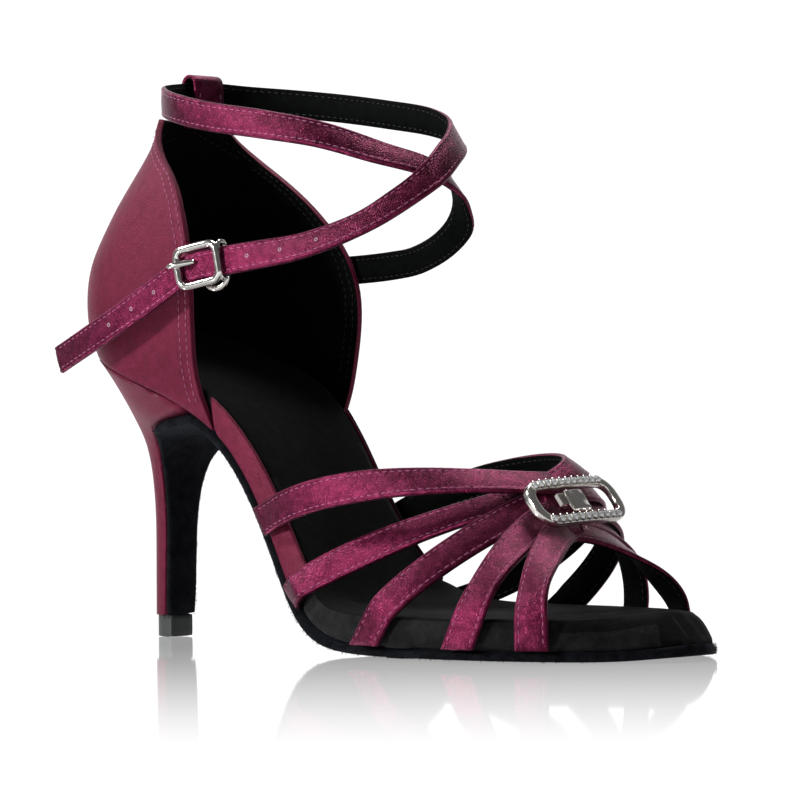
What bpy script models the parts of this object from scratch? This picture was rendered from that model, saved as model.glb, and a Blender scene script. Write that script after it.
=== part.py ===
"""A right-foot ballroom dance sandal with a slim high heel, built from its soles up.

Metres, +Z up, +X towards the toe, +Y towards the inner (medial) side of the foot. The origin is
the centre of the heel's top piece, on the floor.
"""

import math
from collections import namedtuple

import bmesh
import bpy
import numpy as np
from mathutils import Vector

# Driving sizes
HEEL_TO_TOE = 0.194
HEEL_TO_BACK = 0.017
BALL_WIDTH = 0.078
SEAT_HEIGHT = 0.0852
OUTSOLE = 0.0028
FLAP = 0.0018
BED = 0.0082
WALL = 0.0018
RAND = 0.0018
GAP = 0.0003
BACK_ROUND = 0.026
TOE_ROUND = 0.044
TOE_POINT = 1.8
BED_EDGE = 0.0012
NOSE_SLANT = 0.006
BED_DISH = 0.0012
TOP_PIECE_HEIGHT = 0.006
TOP_PIECE_WIDTH = 0.0088
TOP_PIECE_LENGTH = 0.0088
FLAP_END = 0.0078
COUNTER_HEIGHT = 0.1495
QUARTER_LENGTH_LATERAL = 0.0460
QUARTER_LENGTH_MEDIAL = 0.0455
VAMP_STRAP_WIDTH = 0.009
VAMP_STRAP = 0.0016
VAMP_HEIGHT = 0.054
LAYER_STEP = 0.25
KNOT_WIDTH = 0.012
KNOT = 0.0030
ANKLE_STRAP_WIDTH = 0.0082
ANKLE_STRAP = 0.0016
ANKLE_LENGTH = 0.1
ANKLE_HALF_WIDTH = 0.034
ANKLE_OVER_COUNTER = 0.0105
LOOP_WIDTH = 0.0115
LOOP = 0.0012
LOOP_SIDE = 0.003
LOOP_SLACK = 0.0010
LOOP_CLEAR = 0.0020
BUCKLE_LENGTH = 0.0155
BUCKLE_WIDTH = 0.0122
BUCKLE_BAR = 0.0018
BUCKLE_PLACE = 0.047
KEEPER_WIRE = 0.0012
ORNAMENT_LENGTH = 0.038
ORNAMENT_WIDTH = 0.0155
ORNAMENT_BAND = 0.004
ORNAMENT = 0.0020
ORNAMENT_TILT = 2.3
ORNAMENT_TURN = 2.5
ORNAMENT_CROWN = 0.0008
ORNAMENT_RISE = 0.0052
ORNAMENT_SLIDE = 0.0030
ORNAMENT_SHIFT = 0.0020

SHOE_LENGTH = HEEL_TO_TOE + HEEL_TO_BACK
SEAT_RISE = SEAT_HEIGHT - OUTSOLE
ANKLE_HEIGHT = COUNTER_HEIGHT + ANKLE_OVER_COUNTER

# Plan and profile of the sole from the back of the seat (0) to the toe tip (1). rise is the height
# of the outsole's upper face over its flat part, as a share of SEAT_RISE. lateral and medial are
# the half widths before the ends are rounded, as shares of BALL_WIDTH, and bed is the footbed's
# thickness as a share of BED.
Station = namedtuple("Station", "along rise lateral medial bed")
SOLE = (
    Station(0.000, 1.000, 0.350, 0.345, 0.90),
    Station(0.081, 0.926, 0.365, 0.355, 0.90),
    Station(0.152, 0.860, 0.374, 0.360, 0.92),
    Station(0.223, 0.795, 0.372, 0.352, 0.95),
    Station(0.261, 0.747, 0.365, 0.335, 0.93),
    Station(0.294, 0.694, 0.355, 0.312, 0.86),
    Station(0.327, 0.616, 0.347, 0.288, 0.80),
    Station(0.360, 0.508, 0.345, 0.268, 0.80),
    Station(0.396, 0.362, 0.352, 0.264, 0.85),
    Station(0.428, 0.232, 0.370, 0.276, 0.92),
    Station(0.460, 0.121, 0.398, 0.300, 1.00),
    Station(0.493, 0.056, 0.428, 0.330, 1.00),
    Station(0.521, 0.026, 0.452, 0.360, 1.00),
    Station(0.557, 0.009, 0.473, 0.398, 1.00),
    Station(0.592, 0.002, 0.488, 0.435, 1.00),
    Station(0.626, 0.000, 0.498, 0.463, 1.00),
    Station(0.673, 0.000, 0.506, 0.490, 1.00),
    Station(0.744, 0.000, 0.498, 0.487, 1.00),
    Station(0.791, 0.000, 0.475, 0.470, 1.00),
    Station(0.839, 0.000, 0.455, 0.455, 1.00),
    Station(0.900, 0.000, 0.435, 0.445, 1.00),
    Station(0.972, 0.009, 0.405, 0.420, 1.00),
    Station(1.000, 0.020, 0.400, 0.410, 1.00),
)

# Sections of the heel from its foot up to the seat. Heights are shares of SEAT_HEIGHT at the back
# and the front of the section, and its reach back, reach forward and half width are shares of
# BALL_WIDTH.
HeelSection = namedtuple("HeelSection", "back_height front_height back front half")
HEEL = (
    HeelSection(0.235, 0.235, 0.054, 0.044, 0.072),
    HeelSection(0.375, 0.375, 0.053, 0.049, 0.072),
    HeelSection(0.452, 0.452, 0.053, 0.053, 0.080),
    HeelSection(0.505, 0.505, 0.053, 0.056, 0.090),
    HeelSection(0.558, 0.558, 0.053, 0.064, 0.104),
    HeelSection(0.607, 0.604, 0.055, 0.074, 0.123),
    HeelSection(0.657, 0.640, 0.060, 0.088, 0.145),
    HeelSection(0.710, 0.675, 0.074, 0.108, 0.177),
    HeelSection(0.775, 0.704, 0.103, 0.136, 0.218),
    HeelSection(0.845, 0.727, 0.127, 0.190, 0.276),
    HeelSection(0.910, 0.744, 0.154, 0.290, 0.322),
    HeelSection(0.957, 0.760, 0.182, 0.420, 0.350),
)
HEEL_FOOT_BACK = 0.0043
HEEL_FOOT_FRONT = 0.0030
HEEL_FOOT_HALF = 0.0055
HEEL_LIP_FRONT = 0.034

# Rows of the quarter from its lower edge up to the point at the back. back, lateral and medial
# give how far forward the row reaches at the back seam and at its two front edges, as shares of
# SHOE_LENGTH from the origin; the heights are shares of COUNTER_HEIGHT; half is the half width over
# the seat's own, and round the length of its rounded back as a share of BACK_ROUND.
QuarterRow = namedtuple(
    "QuarterRow", "back lateral medial back_height lateral_height medial_height half round"
)
QUARTER = (
    QuarterRow(-0.090, 0.197, 0.220, 0.610, 0.472, 0.462, 1.02, 1.00),
    QuarterRow(-0.094, 0.189, 0.228, 0.656, 0.535, 0.518, 1.03, 1.00),
    QuarterRow(-0.093, 0.185, 0.239, 0.699, 0.615, 0.589, 1.02, 1.00),
    QuarterRow(-0.086, 0.180, 0.244, 0.739, 0.689, 0.662, 0.99, 1.00),
    QuarterRow(-0.070, 0.168, 0.230, 0.779, 0.759, 0.732, 0.94, 1.00),
    QuarterRow(-0.050, 0.147, 0.197, 0.829, 0.826, 0.799, 0.87, 0.97),
    QuarterRow(-0.025, 0.123, 0.154, 0.876, 0.880, 0.860, 0.79, 0.90),
    QuarterRow(0.000, 0.083, 0.097, 0.923, 0.926, 0.918, 0.70, 0.78),
    QuarterRow(0.019, 0.048, 0.058, 0.967, 0.967, 0.965, 0.66, 0.62),
    QuarterRow(0.028, 0.040, 0.047, 1.000, 1.000, 1.000, 0.64, 0.46),
)

# Straps of the vamp, from the heel side to the toe side. crest is where the inner face of each one
# meets the knot, as a share of SHOE_LENGTH from the seat's back, side how far that is to the inner
# side, as a share of BALL_WIDTH, and height its height there, as a share of VAMP_HEIGHT. pitch is
# how far its face is tilted forward there, in degrees, and layer how far out it lies in the knot,
# in layer steps.
VampStrap = namedtuple("VampStrap", "crest side height pitch layer")
VAMP = (
    VampStrap(0.747, 0.100, 0.820, 40, 1),
    VampStrap(0.755, 0.072, 0.780, 47, 0),
    VampStrap(0.764, 0.045, 0.740, 52, 2),
    VampStrap(0.777, 0.023, 0.676, 50, 1),
    VampStrap(0.793, 0.003, 0.608, 48, 0),
)

# The two halves of each strap, up from the sole. base is its place on the sole's edge, as a share
# of SHOE_LENGTH. It leans forward by lean for each unit that it rises on the wall, and goes on that
# way for start, as a share of its way to the crest. It comes to the crest from reach of the sole's
# half width, having swept back by a share of the way, and from climb of VAMP_HEIGHT over it.
VampHalf = namedtuple("VampHalf", "base lean start reach sweep climb")
VAMP_LATERAL = (
    VampHalf(0.391, 0.17, 0.43, 0.47, -0.09, 0.00),
    VampHalf(0.457, -0.02, 0.33, 0.45, -0.04, 0.00),
    VampHalf(0.625, 0.72, 0.16, 0.36, 0.03, 0.00),
    VampHalf(0.776, 0.42, 0.22, 0.35, 0.21, 0.00),
    VampHalf(0.869, -0.01, 0.20, 0.28, 0.27, 0.00),
)
VAMP_MEDIAL = (
    VampHalf(0.397, 0.08, 0.33, 0.70, -0.06, 0.20),
    VampHalf(0.475, 0.60, 0.45, 0.76, -0.13, 0.12),
    VampHalf(0.602, 0.98, 0.50, 0.78, -0.01, -0.03),
    VampHalf(0.751, 0.125, 0.33, 0.50, 0.20, 0.00),
    VampHalf(0.855, -0.36, 0.17, 0.425, 0.06, 0.00),
)

# Route of the ankle strap's centre line: forward as a share of ANKLE_LENGTH, inward (towards the
# inner side) as a share of ANKLE_HALF_WIDTH and up as a share of ANKLE_HEIGHT. lean is how far its
# upper edge leans to the ankle, in degrees.
RoutePoint = namedtuple("RoutePoint", "forward inward up lean")
ANKLE_ROUTE = (
    RoutePoint(0.420, 0.850, 0.659, 0),
    RoutePoint(0.520, 0.850, 0.661, 4),
    RoutePoint(0.630, 0.830, 0.665, 14),
    RoutePoint(0.740, 0.785, 0.673, 30),
    RoutePoint(0.865, 0.703, 0.697, 46),
    RoutePoint(0.957, 0.618, 0.732, 52),
    RoutePoint(1.000, 0.476, 0.772, 50),
    RoutePoint(1.018, 0.271, 0.803, 46),
    RoutePoint(1.000, 0.029, 0.827, 44),
    RoutePoint(0.935, -0.300, 0.849, 42),
    RoutePoint(0.800, -0.559, 0.881, 32),
    RoutePoint(0.620, -0.721, 0.904, 16),
    RoutePoint(0.440, -0.771, 0.922, 4),
    RoutePoint(0.280, -0.721, 0.944, 0),
    RoutePoint(0.165, -0.500, 0.962, 0),
    RoutePoint(0.112, -0.176, 0.972, 0),
    RoutePoint(0.112, 0.159, 0.978, 0),
    RoutePoint(0.175, 0.479, 0.972, 0),
    RoutePoint(0.300, 0.700, 0.963, 0),
    RoutePoint(0.460, 0.791, 0.950, 0),
    RoutePoint(0.640, 0.779, 0.933, 2),
    RoutePoint(0.800, 0.741, 0.916, 10),
    RoutePoint(0.920, 0.641, 0.894, 26),
    RoutePoint(0.997, 0.441, 0.872, 40),
    RoutePoint(1.043, 0.191, 0.846, 46),
    RoutePoint(1.063, -0.080, 0.808, 46),
    RoutePoint(1.020, -0.315, 0.767, 44),
    RoutePoint(0.938, -0.545, 0.725, 42),
    RoutePoint(0.800, -0.771, 0.690, 28),
    RoutePoint(0.640, -0.921, 0.674, 10),
    RoutePoint(0.520, -1.000, 0.664, 0),
    RoutePoint(0.440, -1.041, 0.654, 0),
    RoutePoint(0.340, -1.082, 0.620, 0),
    RoutePoint(0.200, -1.124, 0.573, 0),
    RoutePoint(0.060, -1.121, 0.534, 0),
    RoutePoint(-0.070, -1.079, 0.502, 0),
)

ARCH_RAND_END = 0.463
RAND_SKEW_LATERAL = 0.0055
RAND_SKEW_MEDIAL = 0.0026
RAND_START_LATERAL = QUARTER_LENGTH_LATERAL + GAP
RAND_START_MEDIAL = QUARTER_LENGTH_MEDIAL + 0.0019
RAND_SKEW_RUN = 0.012


def clear_scene():
    for obj in list(bpy.data.objects):
        bpy.data.objects.remove(obj, do_unlink=True)


def smooth(places, values):
    """A smooth curve through the points, as a function of place."""
    places = np.asarray(places, float)
    values = np.asarray(values, float)
    steps = np.diff(places)
    slopes = np.diff(values) / steps
    inner = (slopes[:-1] * steps[1:] + slopes[1:] * steps[:-1]) / (steps[:-1] + steps[1:])
    flat = slopes[:-1] * slopes[1:] <= 0
    inner[flat] = 0.0
    tangents = np.concatenate([slopes[:1], inner, slopes[-1:]])

    def value(place):
        place = min(max(place, places[0]), places[-1])
        i = min(int(np.searchsorted(places, place, side="right")) - 1, len(steps) - 1)
        t = (place - places[i]) / steps[i]
        start = values[i] * (1 + 2 * t) * (1 - t) ** 2 + values[i + 1] * t * t * (3 - 2 * t)
        return float(start + steps[i] * (tangents[i] * t * (1 - t) ** 2 + tangents[i + 1] * t * t * (t - 1)))

    return value


def smoothstep(low, high, x):
    t = min(max((x - low) / (high - low), 0.0), 1.0)
    return t * t * (3 - 2 * t)


def along_of(x):
    return (x + HEEL_TO_BACK) / SHOE_LENGTH


def x_of(along):
    return along * SHOE_LENGTH - HEEL_TO_BACK


ALONG = [station.along for station in SOLE]
rise_share = smooth(ALONG, [station.rise for station in SOLE])
lateral_share = smooth(ALONG, [station.lateral for station in SOLE])
medial_share = smooth(ALONG, [station.medial for station in SOLE])
bed_share = smooth(ALONG, [station.bed for station in SOLE])


def tread_height(x):
    """Height of the outsole's and the heel's upper face."""
    return OUTSOLE + SEAT_RISE * rise_share(along_of(x))


def tread_normal(x):
    """(x, z) of the direction straight up from the tread line."""
    step = 0.0005
    slope = (tread_height(x + step) - tread_height(x - step)) / (2 * step)
    length = math.hypot(1, slope)
    return -slope / length, 1 / length


def end_rounding(x, inset):
    back = min(max((BACK_ROUND - HEEL_TO_BACK - x) / (BACK_ROUND - inset), 0.0), 1.0)
    toe = min(max((x - HEEL_TO_TOE + TOE_ROUND) / TOE_ROUND, 0.0), 1.0)
    return math.sqrt(1 - back**2) * (1 - toe**TOE_POINT) ** (1 / TOE_POINT)


def outline(x, inset=0.0):
    """Half widths of the sole on its outer and inner side, less an inset."""
    along = along_of(x)
    rounding = end_rounding(x, inset)
    return (
        (lateral_share(along) * BALL_WIDTH - inset) * rounding,
        (medial_share(along) * BALL_WIDTH - inset) * rounding,
    )


def stations(first, last, count):
    """Places along the sole, closer together at its ends."""
    return [
        first + (last - first) * (1 - math.cos(math.pi * i / (count - 1))) / 2
        for i in range(count)
    ]


def add_material(obj, name, colour, roughness, metallic=0.0):
    material = bpy.data.materials.get(name) or bpy.data.materials.new(name)
    material.use_nodes = True
    shader = material.node_tree.nodes["Principled BSDF"]
    shader.inputs["Base Color"].default_value = (*colour, 1.0)
    shader.inputs["Roughness"].default_value = roughness
    shader.inputs["Metallic"].default_value = metallic
    obj.data.materials.append(material)


FINISHES = {
    "satin": ((0.16, 0.018, 0.06), 0.4, 0.0),
    "black_suede": ((0.012, 0.013, 0.015), 0.9, 0.0),
    "outsole_suede": ((0.014, 0.016, 0.022), 0.95, 0.0),
    "black_plastic": ((0.02, 0.025, 0.024), 0.5, 0.0),
    "nickel": ((0.75, 0.75, 0.76), 0.15, 1.0),
    "silver": ((0.78, 0.78, 0.80), 0.2, 1.0),
}


def new_object(name, vertices, faces, finish):
    mesh = bpy.data.meshes.new(name)
    mesh.from_pydata([tuple(v) for v in vertices], [], faces)
    mesh.validate()
    mesh.shade_smooth()
    mesh.set_sharp_from_angle(angle=math.radians(40))
    obj = bpy.data.objects.new(name, mesh)
    bpy.context.scene.collection.objects.link(obj)
    add_material(obj, finish, *FINISHES[finish])
    return obj


def loft(name, rings, finish, round_trip=False):
    """A closed body through rings of equally many points. Each ring runs clockwise seen from the
    last ring back to the first. With round_trip the last ring joins the first."""
    size = len(rings[0])
    vertices = [point for ring in rings for point in ring]
    faces = []
    spans = len(rings) if round_trip else len(rings) - 1
    for i in range(spans):
        here, there = i * size, (i + 1) % len(rings) * size
        for j in range(size):
            k = (j + 1) % size
            faces.append((here + j, here + k, there + k, there + j))
    if not round_trip:
        faces.append(tuple(reversed(range(size))))
        faces.append(tuple(range(len(vertices) - size, len(vertices))))
    obj = new_object(name, vertices, faces, finish)
    solid = bmesh.new()
    solid.from_mesh(obj.data)
    bmesh.ops.recalc_face_normals(solid, faces=solid.faces)
    solid.to_mesh(obj.data)
    solid.free()
    return obj


def shell(name, rows, thickness, finish):
    """An open sheet of rows of points, given its thickness on the side it curls round."""
    width = len(rows[0])
    vertices = [point for row in rows for point in row]
    faces = [
        (i * width + j, i * width + j + 1, (i + 1) * width + j + 1, (i + 1) * width + j)
        for i in range(len(rows) - 1)
        for j in range(width - 1)
    ]
    obj = new_object(name, vertices, faces, finish)
    wall = obj.modifiers.new("wall", "SOLIDIFY")
    wall.thickness = thickness
    wall.offset = -1.0
    wall.use_even_offset = True
    return obj


# The outsole: one sheet of suede-faced leather from the toe to the foot of the heel's breast
def heel_front(section):
    return section.front * BALL_WIDTH, section.front_height * SEAT_HEIGHT


def outsole_path():
    """(x, z, outward x, outward z, lateral, medial, thickness) of the sheet's upper face."""
    path = []
    for x in stations(HEEL_TO_TOE - 0.0002, HEEL_LIP_FRONT + 0.004, 44):
        away = tread_normal(x)
        path.append((x, tread_height(x), -away[0], -away[1], *outline(x), OUTSOLE))
    breast = [(*heel_front(s), s.half * BALL_WIDTH) for s in reversed(HEEL)]
    breast.append((HEEL_FOOT_FRONT, FLAP_END, HEEL_FOOT_HALF))
    for i, (x, z, half) in enumerate(breast):
        before = breast[max(i - 1, 0)]
        after = breast[min(i + 1, len(breast) - 1)]
        run, fall = after[0] - before[0], after[1] - before[1]
        length = math.hypot(run, fall)
        away = (-fall / length, run / length)
        thickness = FLAP + (OUTSOLE - FLAP) * smoothstep(0.60, 0.75, z / SEAT_HEIGHT)
        path.append((x + away[0] * GAP, z + away[1] * GAP, *away, half, half, thickness))
    return path


def outsole():
    bevel = 0.0007
    rings = []
    for x, z, out_x, out_z, lateral, medial, thickness in outsole_path():
        middle = (medial - lateral) / 2
        section = (
            (-lateral, 0.0),
            (-lateral, thickness - bevel),
            (-lateral + bevel, thickness),
            (middle, thickness),
            (medial - bevel, thickness),
            (medial, thickness - bevel),
            (medial, 0.0),
            (middle, 0.0),
        )
        rings.append([Vector((x + out_x * d, y, z + out_z * d)) for y, d in section])
    return loft("outsole", rings, "outsole_suede")


# The footbed: board, platform and sock in one, dished a little along its middle
def side_inset(x):
    """What the quarter's wall or the rand takes off the footbed's half width."""
    return (WALL + GAP) * (1 - smoothstep(ARCH_RAND_END + 0.003, ARCH_RAND_END + 0.012, along_of(x)))


def bed_point(x, share, y):
    """A point over the tread line: share 0 on the footbed's underside, 1 on its top."""
    up_x, up_z = tread_normal(x)
    height = GAP + share * BED * bed_share(along_of(x))
    slant = NOSE_SLANT * smoothstep(0.80, 1.0, along_of(x)) * max(share - 0.35, 0.0) / 0.65
    return Vector((x + up_x * height - slant, y, tread_height(x) + up_z * height))


def footbed():
    back_end, toe_end = -HEEL_TO_BACK + WALL + 1.2 * GAP, HEEL_TO_TOE - 0.0003
    rings = []
    notch = [x_of(ARCH_RAND_END + share) for share in (0.003, 0.012)]
    for x in sorted(stations(back_end, toe_end, 50) + notch):
        lateral, medial = outline(x, side_inset(x))
        low, high = -max(lateral, 0.0008), max(medial, 0.0008)
        edge = min(BED_EDGE, (high - low) / 4)
        across = [low + edge + (high - low - 2 * edge) * i / 6 for i in range(7)]
        dish = BED_DISH * min(1.0, (high - low) / BALL_WIDTH * 1.4)
        top = [
            bed_point(x, 1.0, y) - Vector((0, 0, dish * (1 - ((i - 3) / 3) ** 2)))
            for i, y in enumerate(across)
        ]
        ring = [bed_point(x, 0.0, high), bed_point(x, 0.0, (low + high) / 2), bed_point(x, 0.0, low)]
        ring += [bed_point(x, 0.80, low), bed_point(x, 0.95, low + edge * 0.35)]
        ring += top
        ring += [bed_point(x, 0.95, high - edge * 0.35), bed_point(x, 0.80, high)]
        rings.append(ring)
    return loft("footbed", rings, "black_suede")


def rand(name, side):
    """The covered edge of the footbed along the arch, from the quarter to the second strap."""
    first = (RAND_START_LATERAL, RAND_START_MEDIAL)[side]
    lean = (RAND_SKEW_LATERAL, RAND_SKEW_MEDIAL)[side]
    last = x_of(ARCH_RAND_END)
    rings = []
    for i in range(16):
        x = first + (last - first) * i / 15
        skew = lean * (1 - smoothstep(first, first + RAND_SKEW_RUN, x))
        sign = (-1, 1)[side]
        section = ((0.0, 0.0), (0.35, 0.0), (0.75, 0.0003), (0.97, 0.0009), (1.0, RAND), (0.0, RAND))
        ring = [
            bed_point(x - skew * share, share, sign * (outline(x - skew * share)[side] - depth))
            for share, depth in section
        ]
        rings.append(ring[::-1] if side else ring)
    return loft(name, rings, "satin")


# The heel: a covered block, flat at the breast and round at the back
def seat_ring(back, front, half_lateral, half_medial, reach, height, count=30):
    """A horseshoe in plan, from its outer front corner round the back to its inner one. Its back
    is rounded over reach, and it is cut off where it gets to front."""
    turned = math.acos(max(1 - (front - back) / reach, 0.0))
    arc = [turned * i / 40 for i in range(41)]
    side = [(back + reach * (1 - math.cos(a)), math.sin(a)) for a in arc]
    if front - back > reach + 1e-6:
        side += [(back + reach + (front - back - reach) * i / 20, 1.0) for i in range(1, 21)]
    lateral = [(x, -w * half_lateral(x)) for x, w in reversed(side)]
    medial = [(x, w * half_medial(x)) for x, w in side[1:]]
    points = np.array(lateral + medial)
    length = np.concatenate([[0], np.cumsum(np.hypot(*np.diff(points, axis=0).T))])
    even = np.linspace(0, length[-1], count + 1)
    xs = np.interp(even, length, points[:, 0])
    ys = np.interp(even, length, points[:, 1])
    return [Vector((x, y, height(x))) for x, y in zip(xs, ys)]


def flat(value):
    return lambda x: value


def heel():
    foot = TOP_PIECE_HEIGHT + GAP
    rings = [
        seat_ring(
            -HEEL_FOOT_BACK, HEEL_FOOT_FRONT, flat(HEEL_FOOT_HALF), flat(HEEL_FOOT_HALF),
            HEEL_FOOT_BACK + HEEL_FOOT_FRONT, flat(foot)
        )
    ]
    for s in HEEL:
        back, front, half = -s.back * BALL_WIDTH, s.front * BALL_WIDTH, s.half * BALL_WIDTH
        low, high = s.front_height * SEAT_HEIGHT, s.back_height * SEAT_HEIGHT
        slope = (low - high) / (front - back)
        rings.append(
            seat_ring(
                back, front, flat(half), flat(half), min(BACK_ROUND, front - back),
                lambda x, b=back, h=high, k=slope: h + k * (x - b)
            )
        )
    rings.append(
        seat_ring(
            -HEEL_TO_BACK, HEEL_LIP_FRONT, lambda x: lateral_share(along_of(x)) * BALL_WIDTH,
            lambda x: medial_share(along_of(x)) * BALL_WIDTH, BACK_ROUND, tread_height
        )
    )
    return loft("heel", [ring[::-1] for ring in rings], "satin")


def top_piece():
    half = TOP_PIECE_WIDTH / 2
    back = -TOP_PIECE_LENGTH / 2
    rings = [
        seat_ring(back, -back, flat(half), flat(half), TOP_PIECE_LENGTH, flat(z), 20)
        for z in (0.0, TOP_PIECE_HEIGHT)
    ]
    return loft("top_piece", [ring[::-1] for ring in rings], "black_plastic")


# The quarter: a wall round the heel of the foot that rises to a point at the back
def quarter_rows():
    count = 32
    rows = []
    foot = seat_ring(
        -HEEL_TO_BACK, QUARTER_LENGTH_LATERAL, lambda x: lateral_share(along_of(x)) * BALL_WIDTH,
        lambda x: medial_share(along_of(x)) * BALL_WIDTH, BACK_ROUND, lambda x: tread_height(x) + GAP, count
    )
    rows.append(foot)
    half_lateral, half_medial = 0.372 * BALL_WIDTH, 0.360 * BALL_WIDTH
    for row in QUARTER:
        back = row.back * SHOE_LENGTH
        fronts = (row.lateral * SHOE_LENGTH, row.medial * SHOE_LENGTH)
        heights = (row.lateral_height * COUNTER_HEIGHT, row.medial_height * COUNTER_HEIGHT)
        high = row.back_height * COUNTER_HEIGHT
        ring = []
        for side, half in ((0, half_lateral), (1, half_medial)):
            front = fronts[side]
            whole = seat_ring(
                back, front, flat(half * row.half), flat(half * row.half), BACK_ROUND * row.round, flat(0.0), count
            )
            part = whole[: count // 2 + 1] if side == 0 else whole[count // 2 + 1 :]
            for point in part:
                share = (point.x - back) / (front - back)
                point.z = high + (heights[side] - high) * share
            ring += part
        rows.append(ring)
    return rows


def quarter():
    return shell("quarter", [row[::-1] for row in quarter_rows()], WALL, "satin")


# The vamp: five straps over the forefoot, joined in a knot on the crest
def strap_section(centre, across, outward, width, thickness):
    """Four corners of a strap's section, outward being the side away from the foot."""
    half = across * width / 2
    return [
        centre - half,
        centre + half,
        centre + half + outward * thickness,
        centre - half + outward * thickness,
    ]


WALL_RINGS = 5
LASTED_GAP = 0.0009


def wall_corners(half, side):
    """The strap's two edges on the wall, each from the tread line to the bed's top edge."""
    x = x_of(half.base)
    sign = (-1, 1)[side]
    up = Vector((tread_normal(x)[0], 0, tread_normal(x)[1]))
    forward = Vector((up.z, 0, -up.x))
    foot = bed_point(x, 0.0, 0.0)
    rise = (bed_point(x, 1.0, 0.0) - foot).length
    top = foot + (up + forward * half.lean) * rise
    slant = math.hypot(1, half.lean)
    across = (forward - up * half.lean) / slant * VAMP_STRAP_WIDTH / 2
    edges = []
    for way in (1, -1):
        low = bed_point(x + way * forward.x * slant * VAMP_STRAP_WIDTH / 2, 0.0, 0.0)
        edge = [low.lerp(top + across * way, i / WALL_RINGS) for i in range(WALL_RINGS + 1)]
        for point in edge:
            point.y = sign * (outline(point.x)[side] + LASTED_GAP)
        edges.append(edge)
    return edges


def crest_of(strap):
    return Vector((x_of(strap.crest), strap.side * BALL_WIDTH, strap.height * VAMP_HEIGHT))


def vamp_half(strap, half, side):
    """The inner face's middle line of one half, from the tread line up to the crest."""
    front, rear = wall_corners(half, side)
    line = [(a + b) / 2 for a, b in zip(front, rear)]
    edge = line[-1]
    layer = Vector((math.sin(math.radians(strap.pitch)), 0, math.cos(math.radians(strap.pitch))))
    crest = crest_of(strap) + layer * strap.layer * VAMP_STRAP * LAYER_STEP
    way = crest - edge
    first = edge + (edge - line[-2]).normalized() * half.start * way.length
    sign = (-1, 1)[side]
    reach = sign * half.reach * outline(crest.x)[side]
    last = crest + Vector((-half.sweep * way.x, reach, half.climb * VAMP_HEIGHT))
    free = 18
    for i in range(1, free + 1):
        t = i / free
        line.append(
            edge * (1 - t) ** 3 + first * 3 * t * (1 - t) ** 2 + last * 3 * t * t * (1 - t) + crest * t**3
        )
    return line


def vamp_faces(line, pitch):
    """For each point of a strap's line, the direction out of its face and the one across it."""
    faces = []
    middle = len(line) // 2
    ridge = line[middle].y
    for i, point in enumerate(line):
        tangent = (line[min(i + 1, len(line) - 1)] - line[max(i - 1, 0)]).normalized()
        nearness = 1 - min(abs(i - middle) / (middle - WALL_RINGS), 1)
        upward = smoothstep(-0.02, 0.9, nearness)
        forward = math.tan(math.radians(pitch)) * nearness**0.7 * upward
        outward = Vector((forward, (point.y - ridge * nearness) / BALL_WIDTH * 2, upward))
        outward -= tangent * outward.dot(tangent)
        outward.normalize()
        faces.append((outward, outward.cross(tangent).normalized()))
    return faces


def vamp_strap(number):
    strap = VAMP[number]
    line = vamp_half(strap, VAMP_LATERAL[number], 0)
    line += vamp_half(strap, VAMP_MEDIAL[number], 1)[-2::-1]
    rings = [
        strap_section(point, across, outward, VAMP_STRAP_WIDTH, VAMP_STRAP)
        for point, (outward, across) in zip(line, vamp_faces(line, strap.pitch))
    ]
    for side, half in ((0, VAMP_LATERAL[number]), (1, VAMP_MEDIAL[number])):
        out = Vector((0, (-1, 1)[side] * VAMP_STRAP, 0))
        for i, (front, rear) in enumerate(zip(*wall_corners(half, side))):
            rings[-1 - i if side else i] = [front, rear, rear + out, front + out]
    return loft(f"vamp_strap_{number + 1}", rings, "satin")


def vamp_knot():
    """The short band under the ornament that holds the five straps together."""
    line = [crest_of(strap) for strap in VAMP]
    line.insert(0, line[0] - (line[1] - line[0]).normalized() * 0.002)
    line.append(line[-1] + (line[-1] - line[-2]).normalized() * 0.002)
    rings = []
    for i, point in enumerate(line):
        tangent = (line[min(i + 1, len(line) - 1)] - line[max(i - 1, 0)]).normalized()
        outward = Vector((0, 1, 0)).cross(tangent)
        if outward.z < 0:
            outward.negate()
        rings.append(
            strap_section(point - outward * KNOT * 0.3, Vector((0, 1, 0)), outward, KNOT_WIDTH, KNOT)
        )
    return loft("vamp_knot", rings, "satin")


def vamp_straps():
    toe_side = [vamp_strap(number) for number in (4, 3, 2)]
    heel_side = [vamp_strap(number) for number in (1, 0)]
    parts = toe_side + [vamp_knot()] + heel_side
    body = parts[0]
    body.name = "vamp_straps"
    for other in parts[1:]:
        other.hide_render = True
        other.display_type = "WIRE"
        union = body.modifiers.new(f"join_{other.name}", "BOOLEAN")
        union.operation = "UNION"
        union.solver = "EXACT"
        union.object = other
    return body


# The ankle strap: one long strap in a figure of eight, from the inner side of the quarter
ANKLE_STEPS = 3


def along_route(columns):
    """Values of the route at even places along the strap, smooth in between."""
    points = [
        Vector((p.forward * ANKLE_LENGTH, p.inward * ANKLE_HALF_WIDTH, p.up * ANKLE_HEIGHT))
        for p in ANKLE_ROUTE
    ]
    places = [0.0]
    for before, after in zip(points, points[1:]):
        places.append(places[-1] + (after - before).length)
    total = (len(points) - 1) * ANKLE_STEPS
    curves = [smooth(places, column) for column in columns(points)]
    return [[curve(places[-1] * i / total) for curve in curves] for i in range(total + 1)]


def ankle_path():
    return [Vector(row) for row in along_route(lambda points: zip(*points))]


def ankle_leans():
    return [row[0] for row in along_route(lambda points: [[p.lean for p in ANKLE_ROUTE]])]


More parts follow.
